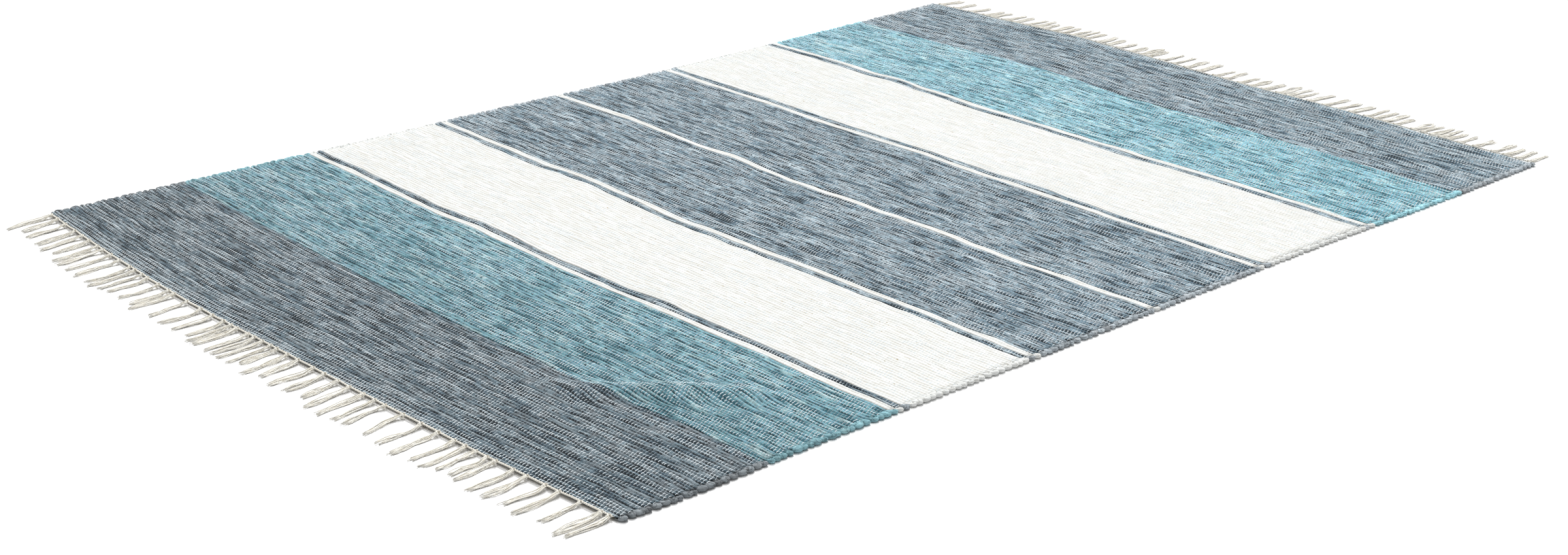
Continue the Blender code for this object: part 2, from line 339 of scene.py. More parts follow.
@dataclass
class Weave:
    """The plain weave: where each pick of rag runs and how high it stands.

    The line at which one pick meets the next is kept for each column of points across the cloth. The
    wavers are the wander of whole runs of picks, and each pick's jitter has its own knots and weights.
    """

    form: RugForm
    columns: int = 113
    warp_pitch: float = 0.0064
    loop_reach: float = 0.009
    bow_fade: float = 0.35
    end_fade: float = 0.05
    wander: float = 0.0030
    wavers: tuple[Waver, ...] = (Waver(14, 7, 0.6), Waver(34, 16, 0.7), Waver(80, 36, 0.6))
    jitter: float = 0.0013
    jitters: tuple[tuple[int, float], ...] = ((24, 0.7), (56, 0.4))
    slubs: int = 1100
    slub_push: Span = (0.0006, 0.0022)
    slub_half: Span = (0.009, 0.028)
    slub_reach: int = 5
    slub_fade: float = 1.6
    slub_rise: float = 0.35
    crest_spread: float = 0.0009
    crest_knots: int = 52
    calm_on_white: float = 0.4
    valley_depth: float = 0.0021
    valley_depth_on_white: float = 0.0013
    hump_fade: float = 9.0
    least_pick: float = 0.0030
    rib_profile: tuple[Span, ...] = ((0.0, 0.0), (0.22, 0.78), (0.5, 1.0), (0.78, 0.78))
    seed: int = 41
    picks: int = field(init=False)
    lines: Array = field(init=False)
    crests: Array = field(init=False)
    depths: Array = field(init=False)

    def __post_init__(self) -> None:
        """Lay out the lines between the picks, the height of each pick and the depth of its valleys."""
        rng = np.random.default_rng(self.seed)
        self.picks = len(RAG_OF_PICK)
        share = np.linspace(0, 1, self.columns)[None, :]
        rows = np.repeat(np.arange(self.picks + 1)[:, None], self.columns, 1)
        along = rows / self.picks
        every = np.repeat(share, self.picks + 1, 0)
        self.lines = self.bowed(along, every) + self.wavering(rng, along, every, rows)
        spread = smooth_rows(rng.uniform(-1, 1, (self.picks + 1, self.crest_knots)), rows, every)
        white = np.array([rag is Rag.WHITE for rag in RAG_OF_PICK] + [False])
        calm = np.where(white, self.calm_on_white, 1.0)[:, None]
        self.crests = self.form.thickness + self.crest_spread * calm * spread
        self.depths = np.where(white, self.valley_depth_on_white, self.valley_depth)
        self.add_slubs(rng, share[0])
        self.add_humps(share[0])

    def bowed(self, along: Array, across: Array) -> Array:
        """Space the lines evenly, bowed like the ends near them and straight in the middle.

        Args:
            along: each place's share of the way along the cloth.
            across: its share of the way across.

        Returns:
            The y of each.
        """
        x = self.form.width * (across - 0.5)
        fade = self.bow_fade / self.form.length
        even = self.form.length * (along - 0.5)
        near = self.form.near.out(x) * np.exp(-along / fade)
        far = self.form.far.out(x) * np.exp((along - 1) / fade)
        return even - near + far

    def wavering(self, rng: np.random.Generator, along: Array, across: Array, rows: Array) -> Array:
        """Beat the weft unevenly, with broad and local wander and each pick's own jitter.

        Args:
            rng: where the knots are drawn from.
            along: each place's share of the way along the cloth.
            across: its share of the way across.
            rows: the number of its line.

        Returns:
            How far each place is off its even line.
        """
        wander = sum(
            waver.weight * smooth_field(rng.uniform(-1, 1, (waver.along, waver.across)), along, across)
            for waver in self.wavers
        )
        jitter = sum(
            weight * smooth_rows(rng.uniform(-1, 1, (self.picks + 1, knots)), rows, across)
            for knots, weight in self.jitters
        )
        fade = smoothstep(np.minimum(along, 1 - along) * self.form.length / self.end_fade)
        return fade * (self.wander * wander + self.jitter * jitter)

    def add_slubs(self, rng: np.random.Generator, share: Array) -> None:
        """Thicken picks over short lengths, which pushes their neighbours apart.

        Args:
            rng: where the slubs are drawn from.
            share: each column's share of the way across.
        """
        for _ in range(self.slubs):
            pick = int(rng.integers(2, self.picks - 2))
            centre, half = rng.uniform(0.01, 0.99), rng.uniform(*self.slub_half)
            extra = rng.uniform(*self.slub_push)
            bump = extra * np.exp(-((share - centre) / half) ** 2)
            for step in range(self.slub_reach):
                push = bump / 2 * math.exp(-step / self.slub_fade)
                if pick + 1 + step < self.picks:
                    self.lines[pick + 1 + step] += push
                if pick - step > 0:
                    self.lines[pick - step] -= push
            self.crests[pick] += self.slub_rise * bump

    def add_humps(self, share: Array) -> None:
        """Push the lines over at the humps, less and less with the picks' distance.

        Args:
            share: each column's share of the way across.
        """
        x = self.form.width * (share - 0.5)
        for hump in HUMPS:
            bump = hump.push * np.exp(-((x - hump.x) / hump.half_length) ** 2)
            for pick in range(1, self.picks):
                if pick > hump.pick or not hump.thickens:
                    self.lines[pick] += bump * math.exp(-abs(pick - hump.pick) / self.hump_fade)
        for pick in range(1, self.picks):
            self.lines[pick] = np.maximum(self.lines[pick], self.lines[pick - 1] + self.least_pick)

    def read(self, table: Array, row: Array, share: Array) -> Array:
        """Read a table that has a line for each pick.

        Args:
            table: the table, with a column for each of the weave's.
            row: the line to read.
            share: where along it, from 0 to 1.

        Returns:
            The line's values there.
        """
        place = np.clip(share, 0, 1) * (self.columns - 1)
        k = np.minimum(place.astype(int), self.columns - 2)
        part = place - k
        return table[row, k] * (1 - part) + table[row, k + 1] * part

    def rib(self, pick: Array, part: Array, share: Array) -> Array:
        """Find the height of a pick's upper side, from its valleys to its crest.

        Args:
            pick: the pick's number.
            part: how far along the warp within the pick, from 0 to 1.
            share: how far across the cloth, from 0 to 1.

        Returns:
            The height over the underside.
        """
        parts = [p for p, _ in self.rib_profile] + [1.0]
        shape = np.interp(part, parts, [s for _, s in self.rib_profile] + [0.0])
        return self.read(self.crests, pick, share) - self.depths[pick] * (1 - shape)

    def points(self, pick: Array, part: Array, share: Array, z: Array) -> Array:
        """Place points on the cloth as it lies.

        Args:
            pick: the pick's number.
            part: how far along the warp within the pick, from 0 to 1.
            share: how far across the cloth, from 0 to 1.
            z: the height over the underside.

        Returns:
            An array of points.
        """
        start = self.read(self.lines, pick, share)
        end = self.read(self.lines, np.minimum(pick + 1, self.picks), share)
        y = start * (1 - part) + end * part
        left = self.form.side_x(-1, y) + self.loop_reach
        right = self.form.side_x(1, y) - self.loop_reach
        x = left + (right - left) * share
        return np.stack([x, y, z + self.form.lift(x, y)], -1)

    def on_top(self, pick: Array, part: Array, share: Array, over: Array) -> Array:
        """Place points on the ribs of the upper face, or a little over or under it.

        Args:
            pick: the pick's number.
            part: how far along the warp within the pick, from 0 to 1.
            share: how far across the cloth, from 0 to 1.
            over: how far over the ribs.

        Returns:
            An array of points.
        """
        pick, part, share = np.broadcast_arrays(pick, part, share)
        points = self.points(pick, part, share, self.rib(pick, part, share) + over)
        points[..., 2] += self.form.unevenness(points[..., 0], points[..., 1])
        return points


def grid_faces(rows: int, columns: int, start: int) -> Array:
    """Make quads over a grid of points, which face up where its rows follow each other along +Y.

    Args:
        rows: how many rows the grid has.
        columns: how many points a row has.
        start: the number of its first point.

    Returns:
        A face in each row.
    """
    row, column = np.meshgrid(np.arange(rows - 1), np.arange(columns - 1), indexing="ij")
    low = (start + row * columns + column).ravel()
    return np.stack([low, low + 1, low + columns + 1, low + columns], 1)


@dataclass
class StripeSheet:
    """One stripe of the cloth: a closed sheet with raised picks on both faces.

    The under face has a quarter of the upper one's columns and two rows to a pick. At the rug's two ends
    the outermost pick is rounded off below, so that it overhangs the floor.
    """

    weave: Weave
    name: str
    picks: int
    first_pick: int
    coarser: int = 4
    under_parts: tuple[float, ...] = (0.0, 0.5)
    under_valley: float = 0.0012
    undercut: float = 0.0025
    top_band: Span = (0.010, 0.640)
    under_band: Span = (0.660, 0.990)
    across_band: Span = (0.012, 0.988)
    wall_band: float = 0.006
    wall_start: float = 0.001
    wall_parting: float = 0.004

    def rows(self, parts: Sequence[float]) -> tuple[Array, Array]:
        """Number the rows of points.

        Args:
            parts: the places of a pick's rows within it, from 0 to 1.

        Returns:
            The pick and the part of it for each row, with the last line at the end.
        """
        picks = np.repeat(np.arange(self.first_pick, self.first_pick + self.picks), len(parts))
        shares = np.tile(parts, self.picks)
        return np.append(picks, self.first_pick + self.picks)[:, None], np.append(shares, 0.0)[:, None]

    def build(self) -> Piece:
        """Make the stripe's mesh, with its weave map, its bake map and its ends' own material slot for their
        painted shade.

        Returns:
            The stripe.
        """
        top_pick, top_part = self.rows([p for p, _ in self.weave.rib_profile])
        low_pick, low_part = self.rows(self.under_parts)
        share = np.linspace(0, 1, self.weave.columns)[None, :]
        top = self.weave.on_top(top_pick, top_part, share, 0.0)
        low_share = share[:, ::self.coarser]
        valley = np.where(low_part == 0.0, self.under_valley, 0.0) + 0 * low_share
        low_where = np.broadcast_arrays(low_pick, low_part, low_share)
        under = self.weave.points(*low_where, valley)
        if self.first_pick == 0:
            under[0, :, 1] += self.undercut
        if self.first_pick + self.picks == self.weave.picks:
            under[-1, :, 1] -= self.undercut
        start = top.shape[0] * top.shape[1]
        blocks = [
            grid_faces(*top.shape[:2], 0),
            grid_faces(*under.shape[:2], start)[:, ::-1],
            self.end_wall(0, start, under.shape[1]),
            self.end_wall(
                start - top.shape[1], start + (under.shape[0] - 1) * under.shape[1], under.shape[1]
            )[:, ::-1],
            self.side_wall(0, start, 0, under.shape[1]),
            self.side_wall(top.shape[1] - 1, start, under.shape[1] - 1, under.shape[1])[:, ::-1],
        ]
        across = np.concatenate([self.flat(share, top_part), self.flat(low_share, low_part)])
        along = np.concatenate([
            self.flat(top_pick + top_part, share), self.flat(low_pick + low_part, low_share)
        ])
        place = np.stack([across * self.weave.form.width, along], 1)
        is_top = np.arange(len(across)) < start
        maps = {
            "weave": [place[b] for b in blocks],
            "OFBake": self.bake_places(blocks, across, (along - self.first_pick) / self.picks, is_top),
        }
        points = np.concatenate([top.reshape(-1, 3), under.reshape(-1, 3)])
        piece = mesh_object(self.name, points, blocks, maps, flat_blocks=4)
        # At the rug's two ends the end walls take the second slot, whose dark olive is painted shade
        ends = (self.first_pick == 0, self.first_pick + self.picks == self.weave.picks)
        kind = [np.full(len(block), k in (2, 3) and ends[k - 2]) for k, block in enumerate(blocks)]
        piece.data.polygons.foreach_set("material_index", np.concatenate(kind).astype(np.int32))
        return piece

    def flat(self, values: Array, other: Array) -> Array:
        """Spread values over the rows and columns that they and the other array span, in one list."""
        return (values + 0 * other).ravel()

    def end_wall(self, top_start: int, low_start: int, low_columns: int) -> Array:
        """Close an end of the sheet with many-cornered faces that look to -Y.

        Args:
            top_start: the first point of the upper face's row there.
            low_start: the first point of the under face's.
            low_columns: how many points the under face's row has.

        Returns:
            A face in each row.
        """
        low = low_start + np.arange(low_columns - 1)
        top = top_start + self.coarser * np.arange(low_columns - 1)
        return np.stack([low, low + 1, *[top + k for k in range(self.coarser, -1, -1)]], 1)

    def side_wall(self, top_column: int, start: int, low_column: int, low_columns: int) -> Array:
        """Close a side of the sheet with one many-cornered face for each pick, which looks to -X.

        Args:
            top_column: the upper face's column there.
            start: the number of the under face's first point.
            low_column: the under face's column there.
            low_columns: how many points the under face's row has.

        Returns:
            A face in each row.
        """
        pick = np.arange(self.picks)
        top_rows, low_rows = len(self.weave.rib_profile), len(self.under_parts)
        top = [top_column + (top_rows * pick + k) * self.weave.columns for k in range(top_rows + 1)]
        low = [start + low_column + (low_rows * pick + k) * low_columns for k in range(low_rows, -1, -1)]
        return np.stack(top + low, 1)

    def bake_places(
        self, blocks: Sequence[Array], across: Array, along: Array, is_top: Array
    ) -> list[Array]:
        """Give each block its own part of the unit square.

        Args:
            blocks: the upper face, the under face, the two end walls and the two side walls.
            across: each point's share of the way across.
            along: each point's share of the way along the stripe.
            is_top: whether each point is on the upper face.

        Returns:
            The places of each block's corners.
        """
        low, high = self.across_band
        u = low + (high - low) * across
        top_v = self.top_band[0] + (self.top_band[1] - self.top_band[0]) * along
        low_v = self.under_band[1] + (self.under_band[0] - self.under_band[1]) * along
        step = np.where(is_top, self.wall_band, 0.0)
        end_starts = (self.wall_start, self.top_band[1] + self.wall_band)
        side_starts = (self.wall_start, high + self.wall_parting)
        return [
            np.stack([u, top_v], 1)[blocks[0]],
            np.stack([u, low_v], 1)[blocks[1]],
            *[np.stack([u, v + step], 1)[b] for b, v in zip(blocks[2:4], end_starts)],
            *[np.stack([x + step, top_v], 1)[b] for b, x in zip(blocks[4:], side_starts)],
        ]


@dataclass(frozen=True)
class FloatCorner:
    """A corner of a warp float: where along the pick, on which side, and its share of the height."""

    part: float
    side: float
    lift: float


@dataclass
class WarpFloats:
    """The short stretches of warp yarn that ride over the picks of some stripes.

    A float's boldness, from 0 to 1, says how much of it shows. Each size that follows boldness is given
    as a base and what full boldness adds to it.
    """

    weave: Weave
    name: str
    first_pick: int
    last_pick: int
    seed: int
    half_width: float = 0.00066
    half_width_by_boldness: Span = (0.65, 0.55)
    stand: float = 0.0008
    stand_by_boldness: Span = (0.40, 0.85)
    margin: float = 0.0024
    stretches: int = 34
    stretch_weight: float = 0.7
    own_weight: float = 0.3
    end_picks: int = 3
    end_boldness: Span = (0.4, 0.6)
    hidden: float = 0.32
    hidden_on_white: float = 0.66
    stray: float = 0.0006
    slant: float = 0.30
    cell_fill: Span = (0.38, 0.86)
    corners: tuple[FloatCorner, ...] = (
        FloatCorner(0.02, 0.0, -0.3), FloatCorner(0.17, -1.0, 0.3), FloatCorner(0.17, 1.0, 0.3),
        FloatCorner(0.50, -1.0, -0.1), FloatCorner(0.50, 0.0, 1.0), FloatCorner(0.50, 1.0, -0.1),
        FloatCorner(0.83, -1.0, 0.3), FloatCorner(0.83, 1.0, 0.3), FloatCorner(0.98, 0.0, -0.3),
    )
    faces: tuple[tuple[int, int, int], ...] = (
        (0, 2, 1), (1, 2, 4), (1, 4, 3), (2, 5, 4), (3, 4, 6), (4, 5, 7), (4, 7, 6), (6, 7, 8),
    )

    def build(self) -> Piece:
        """Make the floats of these picks as one mesh, each a slim arch that dips into both valleys.

        Returns:
            The floats.
        """
        rng = np.random.default_rng(self.seed)
        width = self.weave.form.width
        ends = int(width / self.weave.warp_pitch) + 1
        picks = np.arange(self.first_pick, self.last_pick)
        pick, end = np.repeat(picks, ends), np.tile(np.arange(ends), len(picks))
        share = (end + 0.5 * (pick % 2)) * self.weave.warp_pitch / width
        knots = rng.uniform(0, 1, (self.weave.picks, self.stretches))
        bold = self.stretch_weight * smooth_rows(knots, pick, share)
        bold = bold + self.own_weight * rng.uniform(0, 1, len(pick))
        white = np.array([RAG_OF_PICK[p] is Rag.WHITE for p in pick])
        at_end = (pick < self.end_picks) | (pick >= self.weave.picks - self.end_picks)
        bold = np.where(at_end, self.by_boldness(self.end_boldness, bold), bold)
        shown = bold > np.where(white, self.hidden_on_white, self.hidden)
        shown &= np.abs(share - 0.5) * width < width / 2 - self.margin
        pick, share, bold, white = pick[shown], share[shown], bold[shown], white[shown]
        share = share + rng.normal(0, self.stray, len(share)) / width
        half = self.half_width * self.by_boldness(self.half_width_by_boldness, bold) / width
        stand = self.stand * self.by_boldness(self.stand_by_boldness, bold)
        slant = rng.normal(0.0, self.slant, len(share)) * half
        rings = []
        for corner in self.corners:
            across = share + corner.side * half + 2 * (corner.part - 0.5) * slant
            part = np.full(len(pick), corner.part)
            rings.append(self.weave.on_top(pick, part, across, corner.lift * stand))
        points = np.stack(rings, 1).reshape(-1, 3)
        base = len(self.corners) * np.arange(len(pick))[:, None, None]
        block = (base + np.array(self.faces)[None]).reshape(-1, 3)
        clean = np.repeat(np.where(white, 1.0, bold), len(self.corners))
        maps = {
            "boldness": [np.stack([clean, clean], 1)[block]],
            "OFBake": [self.bake_places(len(pick))[block]],
        }
        return mesh_object(self.name, points, [block], maps)

    def by_boldness(self, base_and_gain: Span, bold: Array) -> Array:
        """Read a size that follows boldness."""
        return base_and_gain[0] + base_and_gain[1] * bold

    def bake_places(self, count: int) -> Array:
        """Lay the floats out in a square of cells, one for each.

        Args:
            count: how many floats there are.

        Returns:
            The place of each corner.
        """
        cells = math.ceil(math.sqrt(count))
        number = np.arange(count)
        corner = np.stack([number % cells, number // cells], 1)[:, None]
        wide, tall = self.cell_fill
        inside = np.array([(0.5 + wide * c.side, 0.5 + tall * (c.part - 0.5)) for c in self.corners])
        return ((corner + inside[None]) / cells).reshape(-1, 2)


@dataclass
class Tubes:
    """Many round strands with equal numbers of rings, made as one piece."""

    rings: Array
    lengths: Array
    cap_band: float = 0.14
    cap_radius: float = 0.35
    column_fill: Span = (0.08, 0.84)

    @classmethod
    def along(
        cls, paths: Array, radii: Array, sides: int, turns: Array, up: Array
    ) -> "Tubes":
        """Put rings of points round paths.

        Args:
            paths: for each strand its line of points.
            radii: the strand's radius at each.
            sides: the points of a ring.
            turns: how often each strand's rings turn along it.
            up: a direction that no strand runs along.

        Returns:
            The strands.
        """
        tangents = np.gradient(paths, axis=1)
        lengths = np.linalg.norm(tangents, axis=2).sum(1)
        tangents /= np.linalg.norm(tangents, axis=2)[..., None]
        aside = np.cross(tangents, up)
        aside /= np.linalg.norm(aside, axis=2)[..., None]
        over = np.cross(aside, tangents)
        spin = FULL_TURN * np.asarray(turns)[:, None] * np.linspace(0, 1, paths.shape[1])[None]
        angle = spin[..., None] + np.linspace(0, FULL_TURN, sides, endpoint=False)
        ring = np.cos(angle)[..., None] * aside[:, :, None] + np.sin(angle)[..., None] * over[:, :, None]
        return cls(paths[:, :, None] + radii[..., None, None] * ring, lengths)

    def blocks(self) -> list[Array]:
        """Make the strands' side faces and their two end faces.

        Returns:
            Three blocks of faces.
        """
        count, rows, sides = self.rings.shape[:3]
        strand, row, a = np.ogrid[:count, :rows - 1, :sides]
        base = (strand * rows + row) * sides
        b = (a + 1) % sides
        quads = np.stack([base + a, base + sides + a, base + sides + b, base + b], -1).reshape(-1, 4)
        first = np.arange(count)[:, None] * rows * sides + np.arange(sides)[None]
        return [quads, first, (first + (rows - 1) * sides)[:, ::-1]]

    def strand_places(self, offset: float = 0.37) -> list[Array]:
        """Place the corners by how far round the strand they are, and by metres along it.

        Args:
            offset: how much further along the map each strand begins than the one before.

        Returns:
            The places of each block's corners.
        """
        count, rows, sides = self.rings.shape[:3]
        a = np.arange(sides)[None, None, :]
        row = np.arange(rows - 1)[None, :, None]
        begin = offset * np.arange(count)[:, None, None]
        metre = (self.lengths / (rows - 1))[:, None, None]
        around = [a, a, a + 1, a + 1]
        down = [row, row + 1, row + 1, row]
        corners = [
            np.stack(np.broadcast_arrays(u / sides, begin + v * metre), -1) for u, v in zip(around, down)
        ]
        caps = [
            np.stack(np.broadcast_arrays(a[0] / sides, begin[:, 0] + end * self.lengths[:, None]), -1)
            for end in (0.0, 1.0)
        ]
        return [np.stack(corners, 3).reshape(-1, 4, 2), *caps]

    def bake_places(self) -> list[Array]:
        """Lay every segment in columns and every end face in a band above them.

        Returns:
            The places of each block's corners.
        """
        count, rows, sides = self.rings.shape[:3]
        total = count * (rows - 1)
        columns = max(1, math.ceil(math.sqrt(total / sides)))
        per_column = math.ceil(total / columns)
        segment = np.arange(total).reshape(count, rows - 1, 1)
        a = np.arange(sides)[None, None, :]
        column, level = segment // per_column, segment % per_column
        height = (1 - self.cap_band) / per_column
        margin, fill = self.column_fill
        corners = []
        for turn, step in ((0, 0), (0, 1), (1, 1), (1, 0)):
            u = (column + margin + fill * (a + turn) / sides) / columns
            corners.append(np.stack(np.broadcast_arrays(u, (level + step) * height), -1))
        cells = math.ceil(math.sqrt(2 * count / self.cap_band))
        angle = np.linspace(0, FULL_TURN, sides, endpoint=False)
        caps = []
        for end in range(2):
            cell = (np.arange(count) + end * count)[:, None]
            u = (cell % cells + 0.5 + self.cap_radius * np.cos(angle)) / cells
            v = 1 - (cell // cells + 0.5 + self.cap_radius * np.sin(angle)) / cells
            caps.append(np.stack([u, v], -1))
        return [np.stack(corners, 3).reshape(-1, 4, 2), *caps]

    def build(self, name: str, own_map: str, own_places: Sequence[Array]) -> Piece:
        """Make the strands one object with their own map and a bake map."""
        maps = {own_map: own_places, "OFBake": self.bake_places()}
        return mesh_object(name, self.rings.reshape(-1, 3), self.blocks(), maps)


@dataclass
class Selvedge:
    """The loops in which the rag weft turns back at one side of the cloth.

    A loop is so fat that the hole in its bend is shut, and it thins where the outermost warp binds it.
    """

    weave: Weave
    name: str
    side: int
    seed: int
    sections: int = 9
    ring: int = 8
    inside: float = 0.0125
    skew: float = 0.0034
    skew_spread: float = 0.0022
    thickness: float = 0.0066
    sizes: Span = (0.86, 1.22)
    out_by_size: float = 0.003
    tuck: float = 0.0006
    fat: float = 0.72
    overlap: float = 1.18
    bluntness: float = 0.24
    swell: float = 0.06
    slim: Span = (0.74, 0.28)
    map_band: Span = (0.36, 0.28)

    def build(self) -> Piece:
        """Make the loops, one for each pair of picks, each with the finish of its rag.

        Returns:
            The selvedge.
        """
        rng = np.random.default_rng(self.seed)
        low = np.arange(0 if self.side > 0 else 1, self.weave.picks - 1, 2)
        column = 0 if self.side < 0 else -1
        y_low, y_high = self.weave.lines[low, column], self.weave.lines[low + 2, column]
        middle, half = (y_low + y_high) / 2, (y_high - y_low) / 2
        count = len(low)
        size = rng.uniform(*self.sizes, count)
        wide = self.fat * size * half
        tall = self.thickness / 2 * (0.5 + 0.5 * size)
        out = self.weave.form.side_x(self.side, middle)
        out = out + self.side * (self.out_by_size * (size - 1) - self.tuck)
        lean = self.skew + rng.uniform(-self.skew_spread, self.skew_spread, count)
        turn = np.linspace(-np.pi / 2, np.pi / 2, self.sections)[None, :]
        reach = np.cos(turn) ** self.bluntness
        run = (self.inside - 0.5 * wide)[:, None] * (1 - reach)
        x = out[:, None] - self.side * (wide[:, None] + run)
        spread = (self.overlap * size * half - wide)[:, None]
        y = middle[:, None] + spread * np.sin(turn) + lean[:, None] * reach
        angle = np.linspace(0, FULL_TURN, self.ring, endpoint=False)[None, None, :]
        swell = 1 + self.swell * np.cos(3 * turn + low[:, None])
        slim = (swell * (self.slim[0] + self.slim[1] * reach))[..., None]
        offset = wide[:, None, None] * slim * np.cos(angle)
        points = np.stack([
            x[..., None] + self.side * np.cos(turn)[..., None] * offset,
            y[..., None] + np.sin(turn)[..., None] * offset,
            tall[:, None, None] * slim * (1 + self.side * np.sin(angle)),
        ], -1)
        points[..., 2] += self.weave.form.lift(points[..., 0], points[..., 1])
        tubes = Tubes(points, np.full(count, 2 * self.inside))
        piece = tubes.build(self.name, "weave", self.weave_places(tubes, low))
        per_loop = (self.sections - 1) * self.ring
        rags = list(Rag)
        kind = np.array([rags.index(RAG_OF_PICK[p]) for p in low])
        slots = np.concatenate([np.repeat(kind, per_loop), kind, kind]).astype(np.int32)
        piece.data.polygons.foreach_set("material_index", slots)
        return piece

    def weave_places(self, tubes: Tubes, low: Array) -> list[Array]:
        """Carry the weave's map on round the loops, just past the cloth's own.

        Args:
            tubes: the loops.
            low: the lower pick of each.

        Returns:
            The places of each block's corners.
        """
        edge = self.weave.form.width if self.side > 0 else 0.0
        start, band = self.map_band
        placed = []
        for block in tubes.strand_places(0.0):
            loop = np.repeat(low, len(block) // len(low))[:, None]
            u = edge + self.side * block[..., 1]
            placed.append(np.stack([u, loop + start + band * block[..., 0]], -1))
        return placed


@dataclass
class Fringe:
    """One end's fringe: where its heading cord runs and where its tassels hang."""

    form: RugForm
    name: str
    side: int
    seed: int
    tassels: int = 52
    unevenness: float = 0.45
    gap: float = 0.0003
    inset: float = 0.010
    knot_half: float = 0.0046
    cord_height: float = 0.0058
    spots: list[float] = field(init=False)

    def __post_init__(self) -> None:
        """Space the tassels unevenly along the end, as in the solids."""
        corner_y = self.side * self.form.length / 2
        start = float(self.form.side_x(-1, corner_y)) + self.inset
        end = float(self.form.side_x(1, corner_y)) - self.inset
        rng = random.Random(self.seed)
        steps = [1 + self.unevenness * rng.uniform(-1, 1) for _ in range(self.tassels - 1)]
        scale = (end - start - 4 * self.knot_half) / sum(steps)
        self.spots = [start + 2 * self.knot_half]
        for step in steps:
            self.spots.append(self.spots[-1] + step * scale)

    def wall_y(self, x: Array) -> Array:
        """The y just clear of the cloth's end at x."""
        return self.form.end_y(self.side, x) + self.side * self.gap


@dataclass
class HeadingCord:
    """The cord along an end: two plies of warp yarn laid round each other."""

    fringe: Fringe
    radius: float = 0.00098
    lay: float = 0.0084
    step: float = 0.0021
    overrun: float = 0.0045
    sides: int = 5
    off_wall: float = 1.6
    ply_orbit: float = 0.92
    sag_knots: int = 60
    sag: Span = (0.0003, 0.0004)

    def build(self) -> Piece:
        """Make the cord, uneven in how it lies against the cloth and in how high.

        Returns:
            The cord.
        """
        rng = np.random.default_rng(self.fringe.seed + 7)
        spots = self.fringe.spots
        x = np.arange(spots[0] - self.overrun, spots[-1] + self.overrun, self.step)
        share = (x - x[0]) / (x[-1] - x[0])
        uneven = smooth_rows(rng.uniform(-1, 1, (1, self.sag_knots)), np.zeros(len(x), int), share)
        orbit = self.ply_orbit * self.radius
        plies = []
        for ply in range(2):
            angle = FULL_TURN * ((x - x[0]) / self.lay + ply / 2)
            out = self.fringe.side * (self.off_wall * self.radius) + orbit * np.cos(angle)
            up = self.fringe.cord_height + orbit * np.sin(angle)
            out, up = out + self.sag[0] * uneven, up + self.sag[1] * uneven
            plies.append(np.stack([x, self.fringe.wall_y(x) + out, up], 1))
        paths = np.stack(plies)
        radii = np.full(paths.shape[:2], self.radius)
        tubes = Tubes.along(paths, radii, self.sides, np.zeros(2), np.array([0, 0, 1.0]))
        return tubes.build(f"heading_cord_{self.fringe.name}", "strand", tubes.strand_places())


